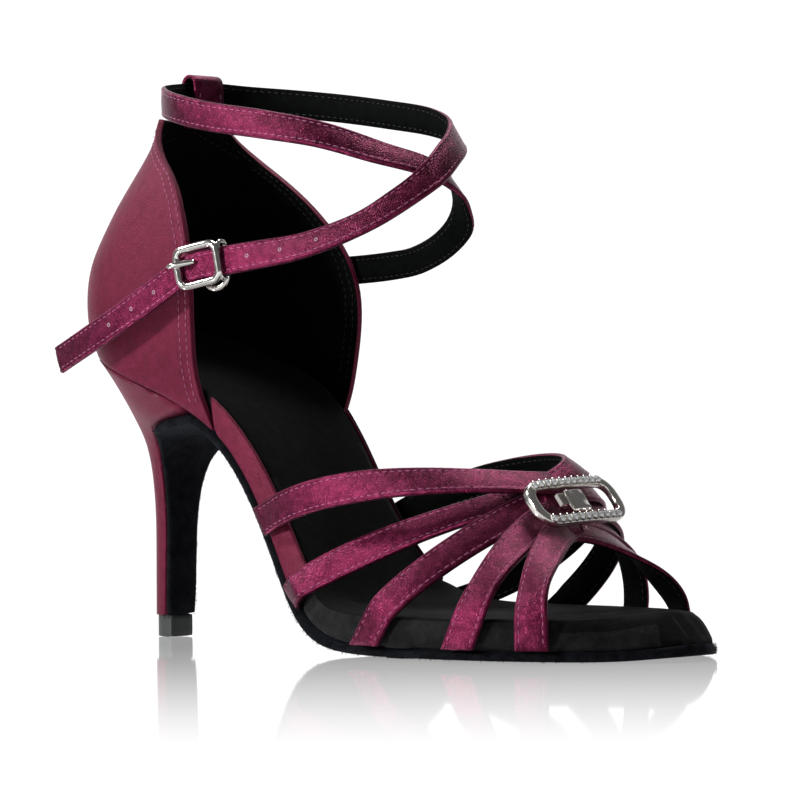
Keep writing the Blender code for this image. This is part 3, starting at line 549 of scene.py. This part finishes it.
holes = bmesh.new()
last_run = range(len(ankle_line) * 2 // 3, len(ankle_line) - 1)
for place in HOLE_PLACES:
    i = min(last_run, key=lambda k: abs(ankle_line[k][0].x - place * MM))
    origin, across, out = ankle_line[i]
    along = (ankle_line[i + 1][0] - ankle_line[i - 1][0]).normalized()
    punch(holes, origin + out * 1.05 * STRAP_THICKNESS, along, out)
finish_body("strap_holes", holes, [hole_rim, hole_painted_shade], smooth=False)

# %% [markdown]
# ## The vamp
# Five straps rise from the sole on each side, cross over the toes and meet in a knot under the
# ornament. A strap is pulled up the wall of the platform, then bends freely to the knot, which a
# Bezier curve follows well. The rows are the CAD model's, from the heel side to the toe side.

# %% The vamp's measures
SHOE_LENGTH, HEEL_TO_BACK = 211 * MM, 17 * MM
BALL_WIDTH, VAMP_HEIGHT, VAMP_WIDTH = 78 * MM, 54 * MM, 9 * MM
LAYER, LASTED_GAP, WALL_RINGS = 0.4 * MM, 0.9 * MM, 5
VampStrap = namedtuple("VampStrap", "crest side height pitch layer")
VAMP = (
    VampStrap(0.747, 0.100, 0.820, 40, 1),
    VampStrap(0.755, 0.072, 0.780, 47, 0),
    VampStrap(0.764, 0.045, 0.740, 52, 2),
    VampStrap(0.777, 0.023, 0.676, 50, 1),
    VampStrap(0.793, 0.003, 0.608, 48, 0),
)
VampHalf = namedtuple("VampHalf", "base lean start reach sweep climb")
VAMP_LATERAL = (
    VampHalf(0.391, 0.17, 0.43, 0.47, -0.09, 0.00),
    VampHalf(0.457, -0.02, 0.33, 0.45, -0.04, 0.00),
    VampHalf(0.625, 0.72, 0.16, 0.36, 0.03, 0.00),
    VampHalf(0.776, 0.42, 0.22, 0.35, 0.21, 0.00),
    VampHalf(0.869, -0.01, 0.20, 0.28, 0.27, 0.00),
)
VAMP_MEDIAL = (
    VampHalf(0.397, 0.08, 0.33, 0.70, -0.06, 0.20),
    VampHalf(0.475, 0.60, 0.45, 0.76, -0.13, 0.12),
    VampHalf(0.602, 0.98, 0.50, 0.78, -0.01, -0.03),
    VampHalf(0.751, 0.125, 0.33, 0.50, 0.20, 0.00),
    VampHalf(0.855, -0.36, 0.17, 0.425, 0.06, 0.00),
)


# %% [markdown]
# ### Measuring the platform
# The straps lie on the platform's wall, so its place is measured on the CAD solids. A ray sent
# from below gives the underside, one from above the top and one from the side the wall.

# %% Rays on the platform
platform = bmesh.new()
for node in ("footbed", "arch_rand_lateral", "arch_rand_medial"):
    platform.from_mesh(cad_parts[node].data)
platform_tree = BVHTree.FromBMesh(platform)
platform.free()


def bed_under(x):
    return platform_tree.ray_cast(Vector((x, 0, -1)), Vector((0, 0, 1)))[0].z


def bed_side(x, side):
    hit = platform_tree.ray_cast(Vector((x, side, bed_under(x) + 2 * MM)), Vector((0, -side, 0)))[0]
    return abs(hit.y)


def bed_top(x, side):
    return platform_tree.ray_cast(Vector((x, side * 0.93 * bed_side(x, side), 1)), Vector((0, 0, -1)))[0].z


def wall_way(x, side):
    """The direction out of the platform's wall, seen from above."""
    slope = (bed_side(x + MM, side) - bed_side(x - MM, side)) / (2 * MM)
    return Vector((-slope, side, 0)).normalized()


ball = 150 * MM
measures = (bed_under(ball), bed_top(ball, 1), bed_side(ball, 1))
print("platform at the ball:", [round(measure / MM, 1) for measure in measures])


# %% From the sole up to the knot
def wall_corners(half, side):
    """The strap's toe-side and heel-side edge on the wall, from the sole to the platform's top."""
    x = half.base * SHOE_LENGTH - HEEL_TO_BACK
    slope = (bed_under(x + 0.5 * MM) - bed_under(x - 0.5 * MM)) / MM
    up = Vector((-slope, 0, 1)).normalized()
    forward = Vector((up.z, 0, -up.x))
    rise = (bed_top(x, side) - bed_under(x)) * up.z
    top = Vector((x, 0, bed_under(x))) + (up + forward * half.lean) * rise
    slant = math.hypot(1, half.lean)
    width = VAMP_WIDTH * abs(wall_way(x, side).y)
    across = (forward - up * half.lean) / slant * width / 2
    edges = []
    for way in (1, -1):
        low_x = x + way * forward.x * slant * width / 2
        low = Vector((low_x, 0, bed_under(low_x)))
        edge = [low.lerp(top + across * way, i / WALL_RINGS) for i in range(WALL_RINGS + 1)]
        for point in edge:
            point.y = side * (bed_side(point.x, side) + LASTED_GAP)
        edges.append(edge)
    return edges


def crest_of(row):
    return Vector((row.crest * SHOE_LENGTH - HEEL_TO_BACK, row.side * BALL_WIDTH, row.height * VAMP_HEIGHT))


def vamp_half(row, half, side, free=26):
    """The inner face's middle line of one half, from the sole up to the knot."""
    front, rear = wall_corners(half, side)
    line = [(a + b) / 2 for a, b in zip(front, rear)]
    edge = line[-1]
    pitch = math.radians(row.pitch)
    crest = crest_of(row) + Vector((math.sin(pitch), 0, math.cos(pitch))) * row.layer * LAYER
    way = crest - edge
    first = edge + (edge - line[-2]).normalized() * half.start * way.length
    reach = side * half.reach * bed_side(crest.x, side)
    last = crest + Vector((-half.sweep * way.x, reach, half.climb * VAMP_HEIGHT))
    for i in range(1, free + 1):
        t, u = i / free, 1 - i / free
        line.append(edge * u**3 + first * 3 * t * u**2 + last * 3 * t * t * u + crest * t**3)
    return line


FACE_UP_FROM, FACE_UP_SPAN, ROLL_POWER, WALL_LET_GO = -0.02, 0.92, 0.7, 2.5


def vamp_stations(number):
    """Stations of a whole strap, from the outer side's sole to the inner side's."""
    row, lateral, medial = VAMP[number], VAMP_LATERAL[number], VAMP_MEDIAL[number]
    line = vamp_half(row, lateral, -1)
    line += vamp_half(row, medial, 1)[-2::-1]
    middle = len(line) // 2
    halves = ((-1, lateral), (1, medial))
    wall_out = [wall_way(half.base * SHOE_LENGTH - HEEL_TO_BACK, side) for side, half in halves]
    stations = []
    for i, point in enumerate(line):
        tangent = (line[min(i + 1, len(line) - 1)] - line[max(i - 1, 0)]).normalized()
        nearness = 1 - min(abs(i - middle) / (middle - WALL_RINGS), 1)
        share = min(max((nearness - FACE_UP_FROM) / FACE_UP_SPAN, 0), 1)
        upward = share * share * (3 - 2 * share)
        forward = math.tan(math.radians(row.pitch)) * nearness**ROLL_POWER * upward
        out = Vector((forward, (point.y - line[middle].y * nearness) / BALL_WIDTH * 2, upward))
        wall = wall_out[i > middle] * out.length
        out = wall.lerp(out, min(nearness * WALL_LET_GO, 1))
        out -= tangent * out.dot(tangent)
        out.normalize()
        stations.append((point, out.cross(tangent).normalized(), out))
    for side, half in halves:
        for i, (front, rear) in enumerate(zip(*wall_corners(half, side))):
            across = (front - rear) / VAMP_WIDTH
            stations[-1 - i if side > 0 else i] = ((front + rear) / 2, across, wall_out[side > 0])
    for order in (range(middle - 1, -1, -1), range(middle + 1, len(stations))):
        for i in order:
            before = stations[i - order.step][1]
            point, across, out = stations[i]
            if across.dot(before) < 0:
                stations[i] = (point, -across, out)
    return stations


# %% Vamp straps
vamp_seams, vamp_back_seams = [], []
for number in range(len(VAMP)):
    stations = vamp_stations(number)
    strap(f"vamp_strap_{number + 1}", stations, VAMP_WIDTH, *(["vamp_straps"] if number == 0 else []))
    vamp_seams += seam_lines(stations, VAMP_WIDTH, skip=1)
    for line, outs in seam_lines(stations, VAMP_WIDTH, height=0, skip=WALL_RINGS + 1):
        vamp_back_seams.append((line, [-out for out in outs]))
sew("vamp_stitches", vamp_seams, thread)
sew("vamp_lining_stitches", vamp_back_seams, black_thread)

# %% [markdown]
# ### The knot
# Under the ornament a short band is wrapped round the crossing and holds the five straps.

# %% Knot band
KNOT_WIDTH, KNOT = 12 * MM, 3 * MM
crests = [crest_of(row) for row in VAMP]
crests.insert(0, crests[0] - (crests[1] - crests[0]).normalized() * 2 * MM)
crests.append(crests[-1] + (crests[-1] - crests[-2]).normalized() * 2 * MM)
knot_stations = []
for i, point in enumerate(crests):
    tangent = (crests[min(i + 1, len(crests) - 1)] - crests[max(i - 1, 0)]).normalized()
    out = Vector((0, 1, 0)).cross(tangent).normalized()
    out = -out if out.z < 0 else out
    knot_stations.append((point - out * KNOT * 0.3, Vector((0, 1, 0)), out))
# The knot band's back gets the lining suede, painted darker as shade.
knot = sweep(knot_stations, strap_section(KNOT_WIDTH, KNOT * 0.94))
finish_body("vamp_knot", knot, [satin, shade_darkened_lining])

# %% [markdown]
# ## The quarter
# The quarter is the closed counter round the heel of the foot: satin outside, black lining inside,
# turned in at its edges. The CAD solid is a wall, so a face that looks at the middle of the foot
# is lining and every other one is satin.

# %% Quarter
FOOT_MIDDLE, FACES_INWARD = 18 * MM, 0.35


# Faces turned to the foot's middle get the lining suede, painted darker as shade.
def quarter_side(centre, direction):
    inward = Vector((FOOT_MIDDLE - centre.x, -centre.y, 0)).normalized()
    return 1 if direction.dot(inward) > FACES_INWARD else 0


from_node("quarter", "quarter_satin", [counter_satin, shade_darkened_lining], 2, 50, 0.55, quarter_side)

# %% [markdown]
# ### The quarter's seams
# Both front edges are sewn twice, once on the turned edge and once further in. Rays find the edge
# at each height: from outside for the satin, from inside for the lining.

# %% Seams along the quarter's front edges
wall_mesh = bmesh.new()
wall_mesh.from_mesh(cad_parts["quarter"].data)
quarter_tree = BVHTree.FromBMesh(wall_mesh)
wall_mesh.free()


def quarter_hit(x, z, side, inside):
    origin = Vector((x, 0, z)) if inside else Vector((x, side, z))
    way = Vector((0, side if inside else -side, 0))
    spot, normal, face, distance = quarter_tree.ray_cast(origin, way)
    return (spot, normal) if spot and spot.y * side > 2 * MM else None


SEAM_POINTS, SEAM_LOW, SEAM_STEP, SEAM_LIFT = 34, 67.5, 2.4, 0.12 * MM
SEARCH_FROM, SEARCH_TO, SEARCH_STEP = 62 * MM, -10 * MM, 0.25 * MM


def edge_seam(side, inset, inside):
    """A line on the quarter's wall, inset from its front edge, with the directions out of it."""
    line, outs = [], []
    for k in range(SEAM_POINTS):
        z = (SEAM_LOW + SEAM_STEP * k) * MM
        x = SEARCH_FROM
        while x > SEARCH_TO and not quarter_hit(x, z, side, inside):
            x -= SEARCH_STEP
        hit = quarter_hit(x - inset, z, side, inside)
        if hit:
            spot, normal = hit
            normal = normal if normal.y * side * (-1 if inside else 1) > 0 else -normal
            line.append(spot + normal * SEAM_LIFT)
            outs.append(normal)
    return line, outs


quarter_seams = [edge_seam(side, inset, False) for side in (-1, 1) for inset in (1.5 * MM, 4.2 * MM)]
sew("quarter_stitches", quarter_seams, thread)
lining_seams = [edge_seam(side, inset, True) for side in (-1, 1) for inset in (2.2 * MM, 5.0 * MM)]
sew("quarter_lining_stitches", lining_seams, black_thread)

# %% [markdown]
# ## The heel, its tip and the soles
# The heel is a block covered with the same satin, pulled tight. The outsole is thin leather with
# the suede side down, so that it grips a dance floor, and it runs down the front of the heel. The
# sock is black suede, and the forefoot's platform is wrapped in it over a round nose; the wrap's
# walls get the same suede painted lighter, as painted light where the lamps fall on them. The CAD
# solids keep 0.3 mm between them, which real glue doesn't, so touching faces are let in here.

# %% Heel and its tip
LET_IN = 0.4 * MM


def close_to_heel(corner):
    if corner.z > 5 * MM:
        corner.z += LET_IN


from_node("heel", "heel_cover", [counter_satin], 1, 35, 0.9)
from_node("top_piece", "heel_tip", [tip_plastic], 2, 35, 0.85, shape=close_to_heel)


# %% Soles
def eased(low, high, x):
    t = min(max((x - low) / (high - low), 0), 1)
    return t * t * (3 - 2 * t)


TOE_FROM, TOE_TO = 160 * MM, 194 * MM
NOSE_FORWARD, NOSE_BULGE, BULGE_HEIGHT, BULGE_SPREAD = 1.6, 2.2, 9.4, 2.9
WALL_TOP, CHAMFER, SOCK_TOP = 9.2 * MM, 10.3 * MM, 10.95 * MM
WALL_DROP, CHAMFER_DROP, CHAMFER_IN = 1.5 * MM, 0.4 * MM, 0.6 * MM
PLATFORM_FROM, FOREFOOT_FROM, FOREFOOT_TO, TIP_FROM = 90 * MM, 105 * MM, 125 * MM, 180 * MM
SOLE_FORWARD, FLAP_DOWN, FLAP_END = 1.9 * MM, 1.4 * MM, 12 * MM


def round_nose(corner):
    """Rounds the platform's edge off, brings its nose forward and lets its foot in to the outsole."""
    if corner.x < PLATFORM_FROM:
        return
    toe = eased(TOE_FROM, TOE_TO, corner.x)
    on_rim = corner.x > TIP_FROM or abs(corner.y) > 0.7 * bed_side(corner.x, math.copysign(1, corner.y))
    forefoot = eased(FOREFOOT_FROM, FOREFOOT_TO, corner.x) * on_rim
    if corner.z < SOCK_TOP:
        bulge = NOSE_BULGE * math.exp(-((corner.z / MM - BULGE_HEIGHT) / BULGE_SPREAD) ** 2)
        corner.x += toe * (NOSE_FORWARD + bulge) * MM
    else:
        corner.x += toe * 0.6 * MM
    if WALL_TOP < corner.z < CHAMFER:
        corner.z -= forefoot * WALL_DROP
    elif CHAMFER < corner.z < SOCK_TOP:
        corner.z -= forefoot * CHAMFER_DROP
        corner.y -= math.copysign(forefoot * (1 - toe) * CHAMFER_IN, corner.y)
    elif corner.z < 5 * MM:
        corner.z -= LET_IN


def long_flap(corner):
    """The outsole reaches the platform's nose, and its flap the heel's tip."""
    corner.x += SOLE_FORWARD * eased(TOE_FROM, TOE_TO, corner.x)
    if corner.x < FLAP_END and corner.z < FLAP_END:
        corner.z -= FLAP_DOWN


# Upward faces get the sock's suede, and the walls get its copy with painted light.
def sock_or_painted_light_wall(centre, direction):
    return 0 if direction.z > 0.55 else 1


def rand_top(centre, direction):
    return 1 if direction.z > 0.5 else 0


outsole = from_node("outsole", "suede_outsole", [sole_suede], 1, 35, 0.5, shape=long_flap)
bed_finishes = [sock_suede, painted_light_wall_suede]
from_node("footbed", "sock_and_platform", bed_finishes, 2, 75, 0.5, sock_or_painted_light_wall, round_nose)
from_node("arch_rand_lateral", "rand_lateral", [counter_satin], 2, 50, 0.6)
from_node("arch_rand_medial", "rand_medial", [counter_satin, sock_suede], 2, 50, 0.6, rand_top)

# %% [markdown]
# ### Nap on the cut edge
# The suede's cut edge is brushed until it stands up. Thousands of tiny three-sided blades on the
# outsole's rim give it the soft outline that a smooth solid can't have.

# %% Nap
BLADES_PER_MM2, MOST_BLADES, BLADE_WIDTH, BLADE_SPREAD = 2.2, 80, 0.1 * MM, 0.8
SHORTEST, LONGEST = 0.2, 0.6
ARCH_FROM, ARCH_TOP = 25 * MM, 60 * MM
nap = bmesh.new()
rim = bmesh.new()
rim.from_mesh(outsole.data)
chance = random.Random(11)
for face in rim.faces:
    centre = face.calc_center_median()
    under_arch = centre.z < ARCH_TOP and centre.x > ARCH_FROM
    if under_arch and abs(face.normal.y) < 0.5 and face.normal.z < 0.2:
        continue
    corners = [vert.co for vert in face.verts]
    for blade in range(min(int(face.calc_area() / (MM * MM) * BLADES_PER_MM2) + 1, MOST_BLADES)):
        weights = [chance.random() ** 2 for corner in corners]
        spot = sum((corner * w for corner, w in zip(corners, weights)), Vector()) / sum(weights)
        lean = Vector([chance.uniform(-BLADE_SPREAD, BLADE_SPREAD) for axis in range(3)])
        away = (face.normal + lean).normalized()
        side = away.orthogonal().normalized() * BLADE_WIDTH
        thirds = [Matrix.Rotation(math.radians(120 * k), 3, away) for k in range(3)]
        foot = [nap.verts.new(spot + third @ side) for third in thirds]
        end = nap.verts.new(spot + away * chance.uniform(SHORTEST, LONGEST) * MM)
        nap.faces.new(reversed(foot))
        for k in range(3):
            nap.faces.new((foot[k], foot[(k + 1) % 3], end))
rim.free()
finish_body("outsole_nap", nap, [sole_suede], smooth=False)

# %% [markdown]
# ## The loop at the back
# The ankle strap can't slip down because it runs through a loop at the top of the counter.

# %% Back loop
# The loop's inner faces get the lining suede, painted darker as shade.
def loop_side(centre, direction):
    low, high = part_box("back_loop")
    middle = Vector(((low[0] + high[0]) / 2, 0, (low[2] + high[2]) / 2 + 2 * MM))
    inward = Vector((middle.x - centre.x, 0, middle.z - centre.z)).normalized()
    return 1 if direction.dot(inward) > 0.5 else 0


from_node("back_loop", "back_loop_satin", [satin, shade_darkened_lining], 2, 50, 0.75, loop_side)
low, high = [Vector(corner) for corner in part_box("back_loop")]
loop_seams = []
for y in (low.y + 1.6 * MM, high.y - 1.6 * MM):
    line = [Vector((high.x + 0.05 * MM, y, low.z + (2 + 1.2 * k) * MM)) for k in range(9)]
    loop_seams.append((line, [Vector((1, 0, 0))] * len(line)))
sew("back_loop_stitches", loop_seams, thread)

# %% [markdown]
# ## The buckle
# A cast frame, plated and polished. The subdivision turns the CAD model's eight-sided bars round
# and makes them thinner, so the frame and the prong are swelled first. The second loop lies
# against the frame.

# %% Buckle
LOOP_TO_FRAME = 2.0 * MM


def against_frame(corner):
    corner.x -= LOOP_TO_FRAME


from_node("buckle_frame", "buckle_frame_plated", [nickel], 2, 50, 0.55, swell=0.32 * MM)
from_node("buckle_prong", "buckle_prong_plated", [nickel], 2, 60, 0.3, swell=0.22 * MM)
from_node("buckle_keeper", "buckle_keeper_plated", [nickel], 2, 60, 0.3, shape=against_frame, swell=0.10 * MM)
from_node("buckle_hook", "buckle_hook_plated", [nickel], 2, 60, 0.3)

# %% [markdown]
# ## The ornament
# A narrow metal band carries round stones on its two long sides, each in a round setting. The
# middle plate is plain and has a small ribbed block beside it.
# A brilliant stone is cut from a short cone: a wide girdle, a slanted crown and a flat table.

# %% Ornament band and plate
from_node("ornament_plate", "ornament_square", [silver], 1, 40, 0.9)
ORNAMENT_LENGTH, ORNAMENT_WIDTH, ORNAMENT_BAND, ORNAMENT_THICK = 38 * MM, 15.5 * MM, 4 * MM, 2 * MM
ORNAMENT_CROWN, ORNAMENT_TURN = 0.8 * MM, math.radians(2.5)
ORNAMENT_RISE, ORNAMENT_SLIDE, ORNAMENT_SHIFT = 5.2 * MM, 3 * MM, 2 * MM
first, last = crest_of(VAMP[0]), crest_of(VAMP[-1])
ORNAMENT_TILT = math.atan2(first.z - last.z, last.x - first.x) + math.radians(2.3)
ORNAMENT_UP = Vector((-math.cos(ORNAMENT_TILT), 0, math.sin(ORNAMENT_TILT)))
ORNAMENT_OUT = Vector((math.sin(ORNAMENT_TILT), 0, math.cos(ORNAMENT_TILT)))
ORNAMENT_CENTRE = crest_of(VAMP[2]) + ORNAMENT_OUT * ORNAMENT_RISE - ORNAMENT_UP * ORNAMENT_SLIDE
ORNAMENT_CENTRE.y += ORNAMENT_SHIFT


def on_ornament(a, b, c):
    """A place on the ornament: a across the foot, b up its slope, c out of its face."""
    a, b = (
        a * math.cos(ORNAMENT_TURN) - b * math.sin(ORNAMENT_TURN),
        a * math.sin(ORNAMENT_TURN) + b * math.cos(ORNAMENT_TURN),
    )
    c -= ORNAMENT_CROWN * (2 * a / ORNAMENT_LENGTH) ** 2
    return ORNAMENT_CENTRE + Vector((0, 1, 0)) * a + ORNAMENT_UP * b + ORNAMENT_OUT * c


def band_line(length, width, radius):
    """Points round the middle of the band."""
    straight_a, straight_b = length / 2 - radius, width / 2 - radius
    points = []
    for turn in range(0, 360, 3):
        a, b = math.cos(math.radians(turn)), math.sin(math.radians(turn))
        points.append((math.copysign(straight_a, a) + radius * a, math.copysign(straight_b, b) + radius * b))
    points.append(points[0])
    return points


def narrow(corner):
    """A corner of the band nearer to its middle line, and nothing out of its face."""
    out = corner - ORNAMENT_CENTRE
    flat_a, flat_b = out.y, out.dot(ORNAMENT_UP)
    a = flat_a * math.cos(ORNAMENT_TURN) + flat_b * math.sin(ORNAMENT_TURN)
    b = flat_b * math.cos(ORNAMENT_TURN) - flat_a * math.sin(ORNAMENT_TURN)
    middle = min(flat_ring, key=lambda spot: (spot.x - a) ** 2 + (spot.y - b) ** 2)
    inward = (middle - Vector((a, b, 0))) * (1 - CHANNEL / ORNAMENT_BAND)
    corner += on_ornament(a + inward.x, b + inward.y, 0) - on_ornament(a, b, 0)


CHANNEL = 3.0 * MM
ring = band_line(ORNAMENT_LENGTH - ORNAMENT_BAND, ORNAMENT_WIDTH - ORNAMENT_BAND, 4.5 * MM)
flat_ring = [Vector((a, b, 0)) for a, b in ring]
from_node("ornament_ring", "ornament_band", [silver], 2, 40, 0.5, shape=narrow)

# %% Ribbed block beside the plate
ribs = bmesh.new()
for k in range(4):
    rib = Matrix((Vector((0, 1, 0)), ORNAMENT_UP, ORNAMENT_OUT)).transposed().to_4x4()
    place = Matrix.Translation(on_ornament((-5.2 - 0.75 * k) * MM, 0.4 * MM, 0.5 * MM))
    bmesh.ops.create_cube(ribs, size=MM, matrix=place @ rib @ Matrix.Diagonal((0.5, 3.6, 1.3, 1)))
rib_edges = list(ribs.edges)
bmesh.ops.bevel(ribs, geom=rib_edges, offset=0.12 * MM, segments=2, affect="EDGES")
finish_body("ornament_ribs", ribs, [silver], smooth=False)


# %% Stones
def set_stone(stones, settings, place, out, size):
    side = out.orthogonal().normalized()
    turn = Matrix.Translation(place) @ Matrix((side, out.cross(side), out)).transposed().to_4x4()
    bmesh.ops.create_cone(
        stones, cap_ends=True, segments=10, radius1=0.50 * size, radius2=0.27 * size, depth=0.30 * size,
        matrix=turn @ Matrix.Translation((0, 0, 0.17 * size)),
    )
    bmesh.ops.create_cone(
        settings, cap_ends=True, segments=16, radius1=0.60 * size, radius2=0.54 * size, depth=0.34 * size,
        matrix=turn @ Matrix.Translation((0, 0, -0.05 * size)),
    )
    for k in range(4):
        corner = Matrix.Rotation(math.radians(45 + 90 * k), 4, "Z")
        claw = turn @ corner @ Matrix.Translation((0.5 * size, 0, 0.13 * size))
        bmesh.ops.create_icosphere(settings, subdivisions=1, radius=0.10 * size, matrix=claw)


stones, settings = bmesh.new(), bmesh.new()
STONE, PLAIN_ENDS = 2.3 * MM, 14.5 * MM
around = sum((b - a).length for a, b in zip(flat_ring, flat_ring[1:]))
for spot, way in along_line(flat_ring, around / round(around / (STONE * 1.16))):
    if abs(spot.x) < PLAIN_ENDS:
        set_stone(stones, settings, on_ornament(spot.x, spot.y, ORNAMENT_THICK / 2), ORNAMENT_OUT, STONE)
for name, body, finish in (("ornament_stones", stones, stone), ("ornament_settings", settings, silver)):
    finish_body(name, body, [finish], smooth=False)

# %% [markdown]
# ## Floor and light
# The photo was taken on a white, glossy table in front of a white wall. The rest of the studio is
# dark, which is why the satin stays deep and only the lamps show in it. So the world is white
# behind the shoe and grey elsewhere. The table glows a little, which stands for the light that a
# white table passes on, and its mirror image fades towards the camera.

# %% Floor
floor_body = bmesh.new()
under_shoe = Matrix.Translation((0, 0, -0.2 * MM))
bmesh.ops.create_grid(floor_body, x_segments=1, y_segments=1, size=6.0, matrix=under_shoe)
floor_mesh = bpy.data.meshes.new("floor")
floor_body.to_mesh(floor_mesh)
floor_body.free()
floor = bpy.data.objects.new("floor", floor_mesh)
bpy.context.scene.collection.objects.link(floor)
table = Finish("white_table", (0.12, 0.12, 0.12), 0.9)
table.set("Specular IOR Level", 0.0)
table.set("Emission Color", (1, 1, 1, 1))
table.set("Emission Strength", 0.99)
mirror = table.nodes.new("ShaderNodeBsdfGlossy")
mirror.inputs["Roughness"].default_value = 0.045
mirror.inputs["Color"].default_value = (1, 1, 1, 1)
to_camera = table.nodes.new("ShaderNodeMapping")
to_camera.inputs["Location"].default_value = (0, 0.062, 0)
to_camera.inputs["Rotation"].default_value = (0, 0, -CAMERA_TURN)
table.links.new(table.place, to_camera.inputs["Vector"])
axes = table.nodes.new("ShaderNodeSeparateXYZ")
table.links.new(to_camera.outputs["Vector"], axes.inputs["Vector"])
fade = table.nodes.new("ShaderNodeMapRange")
fade.interpolation_type = "SMOOTHSTEP"
for socket, value in (("From Min", -0.42), ("From Max", 0.04), ("To Min", 0.0), ("To Max", 0.72)):
    fade.inputs[socket].default_value = value
table.links.new(axes.outputs["Y"], fade.inputs["Value"])
blend = table.nodes.new("ShaderNodeMixShader")
table.links.new(fade.outputs["Result"], blend.inputs["Fac"])
table.links.new(table.shader.outputs["BSDF"], blend.inputs[1])
table.links.new(mirror.outputs["BSDF"], blend.inputs[2])
table.links.new(blend.outputs["Shader"], table.nodes["Material Output"].inputs["Surface"])
floor_mesh.materials.append(table.material)

# %% White wall behind, dark studio elsewhere
WALL_WHITE, STUDIO_GREY = 1.10, 0.10
world = bpy.data.worlds.new("studio")
bpy.context.scene.world = world
world.use_nodes = True
tree = world.node_tree
direction = tree.nodes.new("ShaderNodeTexCoord").outputs["Generated"]
toward_wall = tree.nodes.new("ShaderNodeVectorMath")
toward_wall.operation = "DOT_PRODUCT"
toward_wall.inputs[1].default_value = (-math.sin(CAMERA_TURN), math.cos(CAMERA_TURN), 0.0)
tree.links.new(direction, toward_wall.inputs[0])
spread = tree.nodes.new("ShaderNodeMapRange")
spread.interpolation_type = "SMOOTHSTEP"
WALL_EDGE, WALL_FULL = 0.60, 0.92
for socket, value in (
    ("From Min", WALL_EDGE), ("From Max", WALL_FULL), ("To Min", STUDIO_GREY), ("To Max", WALL_WHITE),
):
    spread.inputs[socket].default_value = value
tree.links.new(toward_wall.outputs["Value"], spread.inputs["Value"])
tree.links.new(spread.outputs["Result"], tree.nodes["Background"].inputs["Strength"])
tree.nodes["Background"].inputs["Color"].default_value = (1, 1, 1, 1)


# %% Lamps
SHOE_MIDDLE = Vector((90 * MM, 0.0, 60 * MM))


def soft_light(name, turn, height, distance, size, power):
    """A square lamp: turn is its compass direction and height its angle over the floor."""
    turn, height = math.radians(turn), math.radians(height)
    away = Vector((math.cos(turn) * math.cos(height), math.sin(turn) * math.cos(height), math.sin(height)))
    data = bpy.data.lights.new(name, "AREA")
    data.size = size
    data.energy = power
    light = bpy.data.objects.new(name, data)
    bpy.context.scene.collection.objects.link(light)
    light.location = SHOE_MIDDLE + away * distance
    light.rotation_euler = away.to_track_quat("Z", "Y").to_euler()


soft_light("key", -150, 38, 1.0, 0.16, 5.5)
soft_light("top", 110, 68, 1.0, 0.34, 6)
soft_light("low", -104, 15, 1.1, 0.14, 8)
bpy.context.scene.view_settings.view_transform = "Standard"
